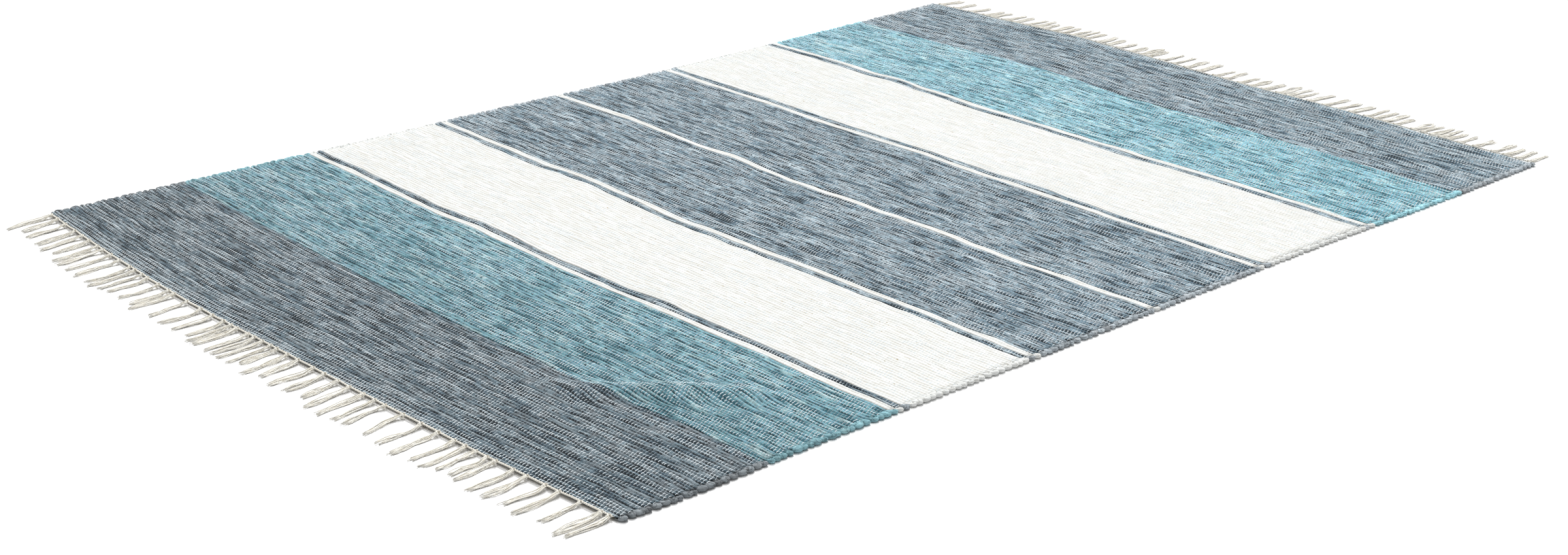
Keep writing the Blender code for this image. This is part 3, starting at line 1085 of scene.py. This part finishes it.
@dataclass
class Tassels:
    """The tassels of an end, each of two legs of yarns, the ends of the cloth's warp.

    The yarns come out of the knot, fall to the floor and lie there in up to three layers. A leg bends and
    sways as one, and its yarns draw together again towards their tips.
    """

    fringe: Fringe
    length: float = 0.076
    length_spread: float = 0.010
    leg_spread: float = 0.3
    tip_margin: float = 0.0028
    lean_drift: float = 0.004
    lean_wave: float = 0.003
    lean_waves: float = 6.0
    lean_wander: float = 0.005
    lean_share: float = 0.24
    lean_splay: float = 0.0055
    splay_share: float = 0.36
    splay_spread: Span = (0.75, 1.0)
    closing: float = 0.6
    leg_root: float = 0.0013
    leg_bend: float = 0.0026
    leg_sway: float = 0.0016
    start: float = 0.0052
    yarns: int = 9
    yarn_radius: float = 0.00090
    yarn_radii: Span = (0.88, 1.12)
    yarn_taper: float = 0.25
    yarn_sections: int = 10
    yarn_sides: int = 4
    yarn_turns: Span = (0.5, 1.2)
    yarn_lengths: float = 0.03
    yarn_root: float = 0.0016
    yarn_spread: float = 0.0012
    yarn_stray: float = 0.0007
    yarn_wave: Span = (0.0003, 0.0011)
    yarn_waves: float = 1.4
    layers: int = 3
    layer_step: float = 0.0005
    layer_rise: float = 1.5
    layer_settles: float = 0.7
    fall_share: float = 0.24

    def build(self) -> Piece:
        """Make all the tassels' yarns, from inside their knots down to the floor and out to the tips.

        Returns:
            The tassels of this end, as one piece.
        """
        rng = random.Random(self.fringe.seed + 100)
        fine = np.random.default_rng(self.fringe.seed + 200)
        paths, radii = [], []
        for spot in self.fringe.spots:
            nearest = min(abs(spot - other) for other in self.fringe.spots if other != spot)
            lane = nearest / 2 - self.tip_margin
            drift = self.lean_drift + self.lean_wave * math.sin(self.lean_waves * spot)
            wander = min(self.lean_share * lane, self.lean_wander) * rng.uniform(-1, 1)
            splay = min(self.splay_share * lane, self.lean_splay) * rng.uniform(*self.splay_spread)
            length = self.length + self.length_spread * rng.uniform(-1, 1)
            for leg in (-1, 1):
                own_length = length + self.leg_spread * self.length_spread * rng.uniform(-1, 1)
                count = self.yarns // 2 + (leg > 0) * (self.yarns % 2)
                lines, sizes = self.leg_yarns(spot, leg, drift + wander, splay, own_length, count, fine)
                paths.append(lines)
                radii.append(sizes)
        paths, radii = np.concatenate(paths), np.concatenate(radii)
        turns = fine.uniform(*self.yarn_turns, len(paths))
        tubes = Tubes.along(paths, radii, self.yarn_sides, turns, np.array([0, 0, 1.0]))
        tubes.rings[..., 2] = np.maximum(tubes.rings[..., 2], 0.0)
        return tubes.build(f"tassels_{self.fringe.name}", "strand", tubes.strand_places())

    def leg_yarns(
        self, spot: float, leg: int, lean: float, splay: float, length: float, count: int,
        fine: np.random.Generator,
    ) -> tuple[Array, Array]:
        """Lay the yarns of one half of a tassel.

        Args:
            spot: the x of the tassel's knot.
            leg: -1 for the half on the left, 1 for the one on the right.
            lean: how far the tassel leans to +X by its tip.
            splay: how far this half spreads from the tassel's middle by its tip.
            length: the half's length.
            count: how many yarns it has.
            fine: where the small unevenness is drawn from.

        Returns:
            The yarns' lines and their radii.
        """
        # The powers of t, the share of a yarn's length, say how near its tip each bend comes
        t = np.linspace(0, 1, self.yarn_sections)[None, :] ** 1.1
        rank = np.linspace(-1, 1, count)[:, None]
        bend, sway = fine.normal(0, self.leg_bend), fine.normal(0, self.leg_sway)
        own = length * (1 + fine.normal(0, self.yarn_lengths, (count, 1)))
        root = leg * self.leg_root + rank * self.yarn_root
        closed = 1 - self.closing * t ** 3
        spread = leg * splay * t ** 1.2 * closed + rank * self.yarn_spread * np.sin(np.pi * t ** 0.9)
        phase = fine.uniform(0, FULL_TURN, (count, 1))
        wave = fine.uniform(*self.yarn_wave, (count, 1)) * (0.2 + t)
        stray = fine.normal(0, self.yarn_stray, (count, 1)) * t ** 2
        x = spot + root + spread + lean * t ** 1.5 + bend * np.sin(np.pi * t) + stray
        x = x + sway * np.sin(FULL_TURN * t) + wave * np.sin(FULL_TURN * self.yarn_waves * t + phase)
        y = float(self.fringe.wall_y(spot)) + self.fringe.side * (self.start + own * t)
        layer = fine.permutation(count)[:, None] % self.layers
        rest = self.yarn_radius * (1 + self.layer_rise * layer * (1 - self.layer_settles * t))
        fall = smoothstep(t / self.fall_share)
        z = (self.fringe.cord_height + self.layer_step * (layer - 1)) * (1 - fall) + rest * fall
        radius = self.yarn_radius * fine.uniform(*self.yarn_radii, (count, 1))
        radius = radius * (1 - self.yarn_taper * t ** 8)
        return np.stack(np.broadcast_arrays(x, y, z), -1), radius


@dataclass(frozen=True)
class KnotTurn:
    """One turn of yarn in a knot: a ring with its place, tilt and two radii, and the yarn's own radius."""

    place: tuple[float, float, float]
    tilt: tuple[float, float, float]
    across: float
    down: float
    yarn: float


@dataclass
class Knots:
    """The knots of an end, each of a turn over the cord and two fat turns over the tassel's yarns."""

    fringe: Fringe
    twist: float = 0.35
    sizes: Span = (0.9, 1.12)
    yarn_length: float = 0.018
    turns: tuple[KnotTurn, ...] = (
        KnotTurn((0.0, 0.0022, 0.0), (0.10, math.pi / 2, 0.30), 0.0023, 0.0022, 0.0010),
        KnotTurn((0.0, 0.0048, -0.0006), (math.pi / 2 - 0.30, 0.0, 0.22), 0.0022, 0.0017, 0.0015),
        KnotTurn((0.0, 0.0066, -0.0014), (math.pi / 2 + 0.22, 0.0, -0.28), 0.0023, 0.0016, 0.0014),
    )
    cell_fill: Span = (0.04, 0.92)

    def build(self) -> Piece:
        """Make the knots: one is modelled from rings of yarn and then set at every tassel.

        Returns:
            The knots of this end, as one piece.
        """
        pattern = self.model()
        mesh = pattern.data
        local = np.empty(3 * len(mesh.vertices))
        mesh.vertices.foreach_get("co", local)
        local = local.reshape(-1, 3)
        corners = np.empty(len(mesh.loops), np.int64)
        mesh.loops.foreach_get("vertex_index", corners)
        places = np.empty(2 * len(mesh.loops))
        mesh.uv_layers[0].data.foreach_get("uv", places)
        faces, places = corners.reshape(-1, 4), places.reshape(-1, 4, 2)
        bpy.data.objects.remove(pattern)
        fringe, order = self.fringe, -self.fringe.side
        fine = np.random.default_rng(fringe.seed + 300)
        cells = math.ceil(math.sqrt(fringe.tassels))
        margin, fill = self.cell_fill
        points, blocks, bake = [], [], []
        for number, spot in enumerate(fringe.spots):
            twist = fine.uniform(-self.twist, self.twist)
            size = fine.uniform(*self.sizes)
            cos, sin = math.cos(twist), math.sin(twist)
            spin = np.array([[cos, -sin], [sin, cos]])
            own = local * size
            own[:, :2] = own[:, :2] @ spin.T
            own[:, 1] *= fringe.side
            own += (spot, float(fringe.wall_y(spot)), fringe.cord_height)
            own[:, 2] = np.maximum(own[:, 2], 0.0)
            points.append(own)
            blocks.append(faces[:, ::order] + number * len(local))
            cell = np.array([number % cells, number // cells])
            bake.append((cell + margin + fill * places[:, ::order]) / cells)
        strand = np.tile(places[:, ::order, ::-1] * (1.0, self.yarn_length), (fringe.tassels, 1, 1))
        maps = {"strand": [strand], "OFBake": [np.concatenate(bake)]}
        return mesh_object(f"knots_{fringe.name}", np.concatenate(points), [np.concatenate(blocks)], maps)

    def model(self) -> Piece:
        """Model one knot facing +Y: a turn of yarn over the cord and two fat turns that shut over the yarns.

        Returns:
            The knot, with its own map from the rings.
        """
        rings = []
        for turn in self.turns:
            bpy.ops.mesh.primitive_torus_add(
                location=turn.place, rotation=turn.tilt, major_segments=12, minor_segments=5,
                major_radius=turn.across, minor_radius=turn.yarn,
            )
            ring = bpy.context.object
            ring.scale = (1.0, turn.down / turn.across, 1.0)
            bpy.ops.object.transform_apply(location=True, rotation=True, scale=True)
            rings.append(ring)
        for ring in rings:
            ring.select_set(True)
        bpy.ops.object.join()
        return bpy.context.object


def add_node(
    tree: Tree,
    kind: str,
    *values: object,
    inputs: dict[int | str, object] | None = None,
    output: int = 0,
    stops: Sequence[tuple[float, str]] = (),
    **settings: object,
) -> Socket:
    """Add a node with its settings and links.

    Args:
        tree: the material's node tree.
        kind: the node's type, without the leading ShaderNode.
        *values: for each of its first inputs, a value or the output to link to it.
        inputs: the same for inputs further on, by number or name.
        output: which of its outputs is wanted.
        stops: places and hex colours, for a colour ramp.
        **settings: the node's own properties.

    Returns:
        The wanted output.
    """
    made = tree.nodes.new("ShaderNode" + kind)
    for key, value in settings.items():
        setattr(made, key, value)
    for key, value in [*enumerate(values), *(inputs or {}).items()]:
        if isinstance(value, Socket):
            tree.links.new(value, made.inputs[key])
        else:
            made.inputs[key].default_value = value
    for number, (place, colour) in enumerate(stops):
        elements = made.color_ramp.elements
        element = elements[number] if number < len(elements) else elements.new(place)
        element.position = place
        element.color = linear(colour)
    return made.outputs[output]


def distance(add: Adder, value: Socket, target: float) -> Socket:
    """Find how far a value is from a target."""
    return add("Math", add("Math", value, target, operation="SUBTRACT"), operation="ABSOLUTE")


def new_material(
    name: str, roughness: float, specular: float, sheen: float
) -> tuple[bpy.types.Material, Adder, bpy.types.bpy_prop_collection]:
    """Start a matt material.

    Args:
        name: the material's name.
        roughness: how rough it is.
        specular: its specular level, which for cotton is low because its fibres scatter the light.
        sheen: the weight of the fuzz that catches light at a slant.

    Returns:
        The material, what adds a node to it, and its shader's inputs.
    """
    material = bpy.data.materials.new(name)
    material.use_nodes = True
    shader = material.node_tree.nodes["Principled BSDF"].inputs
    shader["Roughness"].default_value = roughness
    shader["Specular IOR Level"].default_value = specular
    shader["Sheen Weight"].default_value = sheen
    shader["Sheen Roughness"].default_value = 0.5
    return material, partial(add_node, material.node_tree), shader


@dataclass(frozen=True)
class Marks:
    """Noise on the rag: how long its marks are along the rag, how many fit in a pick, and its detail."""

    length_mm: float
    to_a_pick: float
    detail: float

    def build(self, add: Adder, u: Socket, row: Socket) -> Socket:
        """Make the noise.

        Args:
            add: what adds a node to the material.
            u: the place across the cloth in metres.
            row: the place along it in picks.

        Returns:
            The noise's value.
        """
        along = add("Math", u, 1000.0 / self.length_mm, operation="MULTIPLY")
        down = add("Math", row, self.to_a_pick, operation="MULTIPLY")
        where = add("CombineXYZ", along, down)
        return add("TexNoise", inputs={"Vector": where, "Scale": 1.0, "Detail": self.detail})


# How far in from the map's sides the loops' mask begins to fade, and where it has faded
LOOP_EDGE: Span = (0.003, 0.001)


@dataclass(frozen=True)
class RagPlace:
    """Where a point of the rag lies.

    The weave map gives u in metres across the cloth and v in picks along it. The pick is v's whole number,
    away is how many picks the point is from its pick's crest, aside is how many warp pitches it is from the
    nearest float, and woven is 1 in the cloth and 0 on the loops of its selvedges.
    """

    u: Socket
    v: Socket
    pick: Socket
    away: Socket
    aside: Socket
    woven: Socket

    @classmethod
    def on_weave_map(cls, add: Adder, cloth_width: float, warp_pitch: float) -> "RagPlace":
        """Read the weave map.

        Args:
            add: what adds a node to the material.
            cloth_width: the width of the map's cloth.
            warp_pitch: how far apart the warp's floats are on a pick.

        Returns:
            The place.
        """
        u = add("SeparateXYZ", add("UVMap", uv_map="weave"))
        v = u.node.outputs[1]
        pick = add("Math", v, operation="FLOOR")
        away = distance(add, add("Math", v, pick, operation="SUBTRACT"), 0.5)
        ends = add("Math", u, 1 / warp_pitch, operation="MULTIPLY")
        shift = add("Math", pick, -0.5, ends, operation="MULTIPLY_ADD")
        cell = add("Math", add("Math", shift, 0.5, operation="ADD"), operation="FRACT")
        aside = distance(add, cell, 0.5)
        half = cloth_width / 2
        edge = [half - inwards for inwards in LOOP_EDGE]
        woven = add("MapRange", distance(add, u, half), *edge, 1.0, 0.0)
        return cls(u, v, pick, away, aside, woven)


@dataclass(frozen=True)
class RagFinish:
    """Torn cotton rag, beaten in as weft: matt and soft, with painted shade and highlight on its folds, each
    strip its own tone.

    Shade is painted into the rag's colour in the valleys between its picks, in the creases of its loops and
    where the warp presses it down, the loops are painted lighter than the rag, and it is darker at the near
    end and lighter towards the far end. A span is the part of a value that a map range spreads out, and a
    ramp says as well what it gives at both ends.
    """

    name: str
    tones: tuple[tuple[float, str], ...]
    # The colour of the painted shade in the valleys between the picks and in the loops' creases
    valley: str
    fleck_and_shade: str
    fleck_start: float
    fold_shade_and_mottle: float
    press_shade_depth: float
    thread: str
    shade: float
    near_depth: float
    far_depth: float
    loop: str
    roughness: float = 0.92
    specular: float = 0.2
    sheen: float = 0.10
    strips: Marks = Marks(85.0, 7.31, 3.0)
    tone_span: Span = (0.37, 0.63)
    loop_lightening_ramp: Ramp = (0.0, 1.0, 0.7, 0.0)
    gaps: Marks = Marks(26.0, 9.17, 3.0)
    gap_ramp: Ramp = (0.43, 0.56, 0.20, 1.0)
    valley_span: Span = (0.14, 0.38)
    flecks: Marks = Marks(9.0, 1.7, 2.0)
    fleck_softness: float = 0.05
    fleck_ramp: Ramp = (0.08, 0.34, 0.35, 1.0)
    creases: Marks = Marks(16.0, 8.3, 1.0)
    crease_ramp: Ramp = (0.004, 0.030, 0.6, 0.0)
    crease_height: float = -1.4
    fibres: Marks = Marks(2.4, 2.9, 3.0)
    fibre_share: float = 0.35
    folds: Marks = Marks(13.0, 1.9, 1.0)
    fold_shade_span: Span = (0.46, 0.89)
    batches: Marks = Marks(50.0, 1.1, 2.0)
    batch_span: Span = (0.36, 0.64)
    batch_share: float = 0.35
    press_ramp: Ramp = (0.08, 0.36, 1.0, 0.0)
    press_height: float = -0.9
    near_to_far_picks: Span = (20.0, 150.0)
    thread_span: Span = (0.09, 0.13)
    arch_ramp: Ramp = (0.30, 0.42, 1.0, 0.0)
    thread_height: float = 1.0
    bump_strength: float = 0.6
    bump_distance: float = 0.0007

    def build(self, cloth_width: float, warp_pitch: float) -> bpy.types.Material:
        """Make the rag's material on the weave map.

        Args:
            cloth_width: the width of the map's cloth.
            warp_pitch: how far apart the warp's floats are on a pick.

        Returns:
            The material.
        """
        material, add, shader = new_material(self.name, self.roughness, self.specular, self.sheen)
        place = RagPlace.on_weave_map(add, cloth_width, warp_pitch)
        tone = add("MapRange", self.strips.build(add, place.u, place.pick), *self.tone_span)
        colour = add("ValToRGB", tone, stops=self.tones)
        crease = self.painted_crease_shade(add, place)
        layers = (
            # Painted light: the loops are mixed towards a colour lighter than their rag, against their shade
            (add("MapRange", place.woven, *self.loop_lightening_ramp), self.loop),
            # Painted shade in the valleys between the picks
            (self.painted_valley_shade(add, place), self.valley),
            # Flecks: dark ones on slate and teal are painted shade in the rag's twists, beige ones on white
            # are the rag's own colour
            (self.flecks_and_shade(add, place), self.fleck_and_shade),
            # Painted shade in the loops' creases, in the valleys' colour
            (crease, self.valley),
        )
        for share, tint in layers:
            colour = add("Mix", share, inputs={6: colour, 7: linear(tint)}, output=2, data_type="RGBA")
        fibres, folds = (marks.build(add, place.u, place.v) for marks in (self.fibres, self.folds))
        relief = add("Math", fibres, self.fibre_share, folds, operation="MULTIPLY_ADD")
        pressed = add("MapRange", place.aside, *self.press_ramp)
        pressed = add("Math", pressed, place.woven, operation="MULTIPLY")
        light = self.lit(add, place, relief, pressed)
        colour = add("VectorMath", colour, inputs={3: light}, operation="SCALE")
        thread = self.threaded(add, place)
        colour = add("Mix", thread, inputs={6: colour, 7: linear(self.thread)}, output=2, data_type="RGBA")
        raised = relief
        heights = ((pressed, self.press_height), (thread, self.thread_height), (crease, self.crease_height))
        for share, height in heights:
            raised = add("Math", share, height, raised, operation="MULTIPLY_ADD")
        bump = {"Strength": self.bump_strength, "Distance": self.bump_distance, "Height": raised}
        material.node_tree.links.new(colour, shader["Base Color"])
        material.node_tree.links.new(add("Bump", inputs=bump), shader["Normal"])
        return material

    def painted_valley_shade(self, add: Adder, place: RagPlace) -> Socket:
        """Paint shade into the valleys between the picks, less where the rag hides them.

        Args:
            add: what adds a node to the material.
            place: where the point lies.

        Returns:
            The share of the painted valley shade.
        """
        valley = add("Math", add("Math", place.v, 0.5, operation="ADD"), operation="FLOOR")
        gap = add("MapRange", self.gaps.build(add, place.u, valley), *self.gap_ramp)
        valley_shade = add("MapRange", place.away, *self.valley_span)
        return add("Math", valley_shade, gap, operation="MULTIPLY")

    def flecks_and_shade(self, add: Adder, place: RagPlace) -> Socket:
        """Scatter flecks, fewer on the picks' crests: dark ones on slate and teal are painted shade in the
        rag's twists, beige ones on white are its own colour.

        Args:
            add: what adds a node to the material.
            place: where the point lies.

        Returns:
            The share of the flecks' colour.
        """
        flecks = self.flecks.build(add, place.u, place.v)
        flecks = add("MapRange", flecks, self.fleck_start, self.fleck_start + self.fleck_softness)
        low = add("MapRange", place.away, *self.fleck_ramp)
        return add("Math", flecks, low, operation="MULTIPLY")

    def painted_crease_shade(self, add: Adder, place: RagPlace) -> Socket:
        """Crease the loops with thin lines of painted shade, where the noise crosses its middle.

        Args:
            add: what adds a node to the material.
            place: where the point lies.

        Returns:
            The share of the painted crease shade.
        """
        crease = distance(add, self.creases.build(add, place.u, place.v), 0.5)
        crease = add("MapRange", crease, *self.crease_ramp)
        loose = add("Math", 1.0, place.woven, operation="SUBTRACT")
        return add("Math", crease, loose, operation="MULTIPLY")

    def lit(self, add: Adder, place: RagPlace, relief: Socket, pressed: Socket) -> Socket:
        """Lighten and darken the rag by painted shade and highlight on its folds and fibres, its batch's own
        tone, painted shade where the warp presses it down, and a gradient from the near end to the far end.

        Args:
            add: what adds a node to the material.
            place: where the point lies.
            relief: how far the folds and fibres stand up.
            pressed: how far the warp presses the rag down.

        Returns:
            The factor that the colour is scaled by.
        """
        # Painted shade and highlight: the colour follows the height of the folds' and fibres' bump
        light = add("MapRange", relief, *self.fold_shade_span, 1 - self.fold_shade_and_mottle, 1 + self.fold_shade_and_mottle)
        cloud = self.batch_share * self.fold_shade_and_mottle
        batch = self.batches.build(add, place.u, place.v)
        batch = add("MapRange", batch, *self.batch_span, 1 - cloud, 1 + cloud)
        # Painted shade where the warp presses the rag down beside its floats
        press_shade = add("MapRange", pressed, 0.0, 1.0, 1.0, 1 - self.press_shade_depth)
        # Darker at the near end and lighter towards the far end, scaled from near_depth to far_depth over
        # these picks
        near_to_far = add("MapRange", place.v, *self.near_to_far_picks, self.near_depth, self.far_depth)
        for factor in (batch, press_shade, near_to_far):
            light = add("Math", light, factor, operation="MULTIPLY")
        return light

    def threaded(self, add: Adder, place: RagPlace) -> Socket:
        """Draw the warp faintly over the picks' crests, under its floats and where none is modelled.

        Args:
            add: what adds a node to the material.
            place: where the point lies.

        Returns:
            The share of the warp's colour.
        """
        thread = add("MapRange", place.aside, *self.thread_span, self.shade, 0.0)
        for mask in (add("MapRange", place.away, *self.arch_ramp), place.woven):
            thread = add("Math", thread, mask, operation="MULTIPLY")
        return thread


@dataclass(frozen=True)
class YarnFinish:
    """Twisted unbleached cotton yarn: matt and fuzzy, its plies drawn round it as slanted lines, with
    painted shade in the grooves between them.
    """

    name: str
    light: str
    dark: str
    ply_mm: float = 1.7
    blotch_mm: float = 6.0
    drawn_plies: bool = True
    sheen: float = 0.12
    by_boldness: bool = False
    blotch_share: float = 0.4
    bold_span: Span = (0.30, 1.10)
    ply_shade_share: float = 0.15
    ply_span: Span = (0.30, 0.85)
    dark_stop: float = 0.25
    light_stop: float = 0.65
    bump_strength: float = 0.35
    bump_distance: float = 0.0002

    def build(self) -> bpy.types.Material:
        """Make the yarn's material, with its twist on the strand map where it is drawn.

        Returns:
            The material.
        """
        material, add, shader = new_material(self.name, roughness=0.9, specular=0.2, sheen=self.sheen)
        body = add("TexCoord", output=3)
        shade = add("TexNoise", inputs={"Vector": body, "Scale": 1000.0 / self.blotch_mm, "Detail": 3.0})
        if self.by_boldness:
            bold = add("SeparateXYZ", add("UVMap", uv_map="boldness"))
            shade = add("Math", shade, self.blotch_share, bold, operation="MULTIPLY_ADD")
            shade = add("MapRange", shade, *self.bold_span)
        if self.drawn_plies:
            around = add("SeparateXYZ", add("UVMap", uv_map="strand"))
            along = around.node.outputs[1]
            turn = add("Math", along, 1000.0 / self.ply_mm, around, operation="MULTIPLY_ADD")
            angle = add("Math", turn, FULL_TURN, operation="MULTIPLY")
            ply = add("MapRange", add("Math", angle, operation="SINE"), -1.0, 1.0)
            bump = {"Strength": self.bump_strength, "Distance": self.bump_distance, "Height": ply}
            material.node_tree.links.new(add("Bump", inputs=bump), shader["Normal"])
            # Painted shade in the grooves between the plies, where the bump is low
            shade = add("Math", ply, self.ply_shade_share, shade, operation="MULTIPLY_ADD")
            shade = add("MapRange", shade, *self.ply_span)
        stops = ((self.dark_stop, self.dark), (self.light_stop, self.light))
        material.node_tree.links.new(add("ValToRGB", shade, stops=stops), shader["Base Color"])
        return material


# Slate and teal rag is torn from cloth with a woven shade of its own, so the strips run from dark to pale.
# White rag is even, and the shade painted into its valleys is only a little darker and warmer.
RAG_FINISHES = {
    Rag.SLATE: RagFinish(
        "slate_cotton_rag",
        tones=(
            (0.0, "2f414b"), (0.20, "5e7788"), (0.43, "8ea8b6"), (0.68, "9ba5ac"), (0.85, "a3bac6"),
            (1.0, "bdced7"),
        ),
        valley="1d2830", fleck_and_shade="1a2229", fleck_start=0.59, fold_shade_and_mottle=0.32, press_shade_depth=0.30,
        thread="b4c2ca", shade=0.5, near_depth=0.50, far_depth=1.08, loop="c6ccd0",
    ),
    Rag.TEAL: RagFinish(
        "teal_cotton_rag",
        tones=(
            (0.0, "3f7a8a"), (0.20, "75b0c0"), (0.43, "9dd6e2"), (0.68, "94cade"), (0.85, "a9dfe9"),
            (1.0, "c8edf2"),
        ),
        valley="2a5561", fleck_and_shade="24464f", fleck_start=0.60, fold_shade_and_mottle=0.26, press_shade_depth=0.25,
        thread="bfd6dc", shade=0.5, near_depth=0.50, far_depth=1.08, loop="b6eaf4",
    ),
    Rag.WHITE: RagFinish(
        "white_cotton_rag",
        tones=((0.0, "e7e9e7"), (0.4, "eceeec"), (0.7, "eff1ef"), (1.0, "f4f5f4")),
        valley="dfddd5", fleck_and_shade="b9ac90", fleck_start=0.68, fold_shade_and_mottle=0.03, press_shade_depth=0.03,
        thread="f3f3f0", shade=0.4, near_depth=0.95, far_depth=1.01, loop="eff1ef",
    ),
}
# Warp on the picks: fine and pale where it shows boldly, and greyed by the rag where it sinks in.
FLOAT_FINISH = YarnFinish(
    "cotton_warp_float", light="eaf2f6", dark="8495a0", drawn_plies=False, by_boldness=True
)
# Warp in the cords, knots and tassels: off-white, and bright at its fuzzy rims.
YARN_FINISH = YarnFinish("unbleached_cotton_yarn", light="fffdf5", dark="f6f1e4", sheen=0.30)
# The rug's end walls under the cord: painted shade, a dark olive that stands in for the shadow there.
END_WALL_SHADE_FINISH = YarnFinish("painted_end_wall_shade", light="75653a", dark="4e4224", drawn_plies=False, sheen=0.0)


@dataclass(frozen=True)
class SoftLight:
    """An even light on the whole floor from a place, as soft as a box of this angle in degrees."""

    name: str
    place: tuple[float, float, float]
    spread: float
    strength: float

    def build(self) -> None:
        """Hang the light."""
        data = bpy.data.lights.new(self.name, "SUN")
        data.angle = math.radians(self.spread)
        data.energy = self.strength
        lamp = bpy.data.objects.new(self.name, data)
        lamp.location = self.place
        lamp.rotation_euler = (-Vector(self.place)).to_track_quat("-Z", "Y").to_euler()
        bpy.context.scene.collection.objects.link(lamp)


@dataclass
class Studio:
    """The plain pale floor, the soft lights and the camera."""

    eye: tuple[float, float, float] = (2.9798, -2.8872, 1.4320)
    aim: tuple[float, float, float] = (0.2970, -0.3780, 0.0060)
    roll_degrees: float = -0.918
    lens: float = 53.4
    sensor_width: float = 36.0
    floor_size: float = 30.0
    floor_drop: float = 0.0004
    floor_grey: float = 0.95
    world_strength: float = 0.30
    lights: tuple[SoftLight, ...] = (
        SoftLight("key_light", (-3.2, 2.9, 4.4), 9.0, 2.42),
        SoftLight("top_light", (-0.7, 1.1, 4.9), 26.0, 1.32),
    )

    def add_camera(self) -> None:
        """Stand the camera where the photograph was taken from."""
        data = bpy.data.cameras.new("camera")
        data.lens = self.lens
        data.sensor_width = self.sensor_width
        data.clip_end = 60.0
        camera = bpy.data.objects.new("camera", data)
        bpy.context.scene.collection.objects.link(camera)
        look = (Vector(self.aim) - Vector(self.eye)).normalized()
        level = look.to_track_quat("-Z", "Y").to_matrix().to_4x4()
        roll = Matrix.Rotation(math.radians(self.roll_degrees), 4, look)
        camera.matrix_world = Matrix.Translation(self.eye) @ roll @ level
        bpy.context.scene.camera = camera

    def add_floor(self) -> None:
        """Lay a wide matt white floor just under the rug."""
        bpy.ops.mesh.primitive_plane_add(size=self.floor_size, location=(0, 0, -self.floor_drop))
        floor = bpy.context.object
        floor.name = "studio_floor"
        material, _, shader = new_material("matt_white_floor", roughness=1.0, specular=0.0, sheen=0.0)
        shader["Base Color"].default_value = (self.floor_grey, self.floor_grey, self.floor_grey, 1)
        floor.data.materials.append(material)

    def build(self) -> None:
        """Set the world, the lights, the floor and the camera."""
        world = bpy.data.worlds.new("pale_studio")
        world.use_nodes = True
        background = world.node_tree.nodes["Background"]
        background.inputs[0].default_value = (1, 1, 1, 1)
        background.inputs[1].default_value = self.world_strength
        scene = bpy.context.scene
        scene.world = world
        scene.view_settings.view_transform = "Standard"
        for light in self.lights:
            light.build()
        self.add_floor()
        self.add_camera()


def seat(piece: Piece, slot: str, *materials: bpy.types.Material) -> Piece:
    """Dress a piece and let it ride on the rug.

    Args:
        piece: the piece.
        slot: the record's slot for its material; not used.
        *materials: its materials, in the order of its slots.

    Returns:
        The piece.
    """
    for material in materials:
        piece.data.materials.append(material)
    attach(piece, "root")
    LOG.info("%s: %d faces", piece.name, len(piece.data.polygons))
    return piece


# The picks of each mesh of floats, and the side, name and seed of each fringe
FLOAT_RUNS = ((0, 75), (75, 167), (167, 249), (249, 328))
FLOAT_SEED = 60
LOOP_SEED = 80
FRINGE_ENDS = ((-1, "near", 11), (1, "far", 23))


def main() -> None:
    """Build the rug's pieces in order and let them stand for the solids."""
    logging.basicConfig(level=logging.INFO, format="%(name)s: %(message)s")
    for thing in bpy.context.selected_objects:
        thing.select_set(False)
    form = RugForm()
    weave = Weave(form)
    rags = {rag: finish.build(form.width, weave.warp_pitch) for rag, finish in RAG_FINISHES.items()}
    warp, yarn, end_wall_shade = FLOAT_FINISH.build(), YARN_FINISH.build(), END_WALL_SHADE_FINISH.build()
    sheets, pick = [], 0
    for number, stripe in enumerate(STRIPES, 1):
        name = f"stripe_{number:02d}_{stripe.rag.value}"
        sheet = StripeSheet(weave, name, stripe.picks, pick).build()
        sheets.append(seat(sheet, "rag_weave", rags[stripe.rag], end_wall_shade))
        pick += stripe.picks
    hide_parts("cloth")
    for number, (first, last) in enumerate(FLOAT_RUNS, 1):
        floats = WarpFloats(weave, f"warp_floats_{number}", first, last, FLOAT_SEED + number)
        seat(floats.build(), "warp_yarn", warp)
    for side, name in ((-1, "selvedge_left"), (1, "selvedge_right")):
        seat(Selvedge(weave, name, side, LOOP_SEED + side).build(), "rag_weave", *[rags[rag] for rag in Rag])
    for side, name, seed in FRINGE_ENDS:
        fringe = Fringe(form, name, side, seed)
        cord = seat(HeadingCord(fringe).build(), "warp_yarn", yarn)
        seat(Knots(fringe).build(), "warp_yarn", yarn)
        seat(Tassels(fringe).build(), "warp_yarn", yarn)
        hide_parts(f"fringe_{name}")
    Studio().build()


if __name__ == "__main__":
    main()
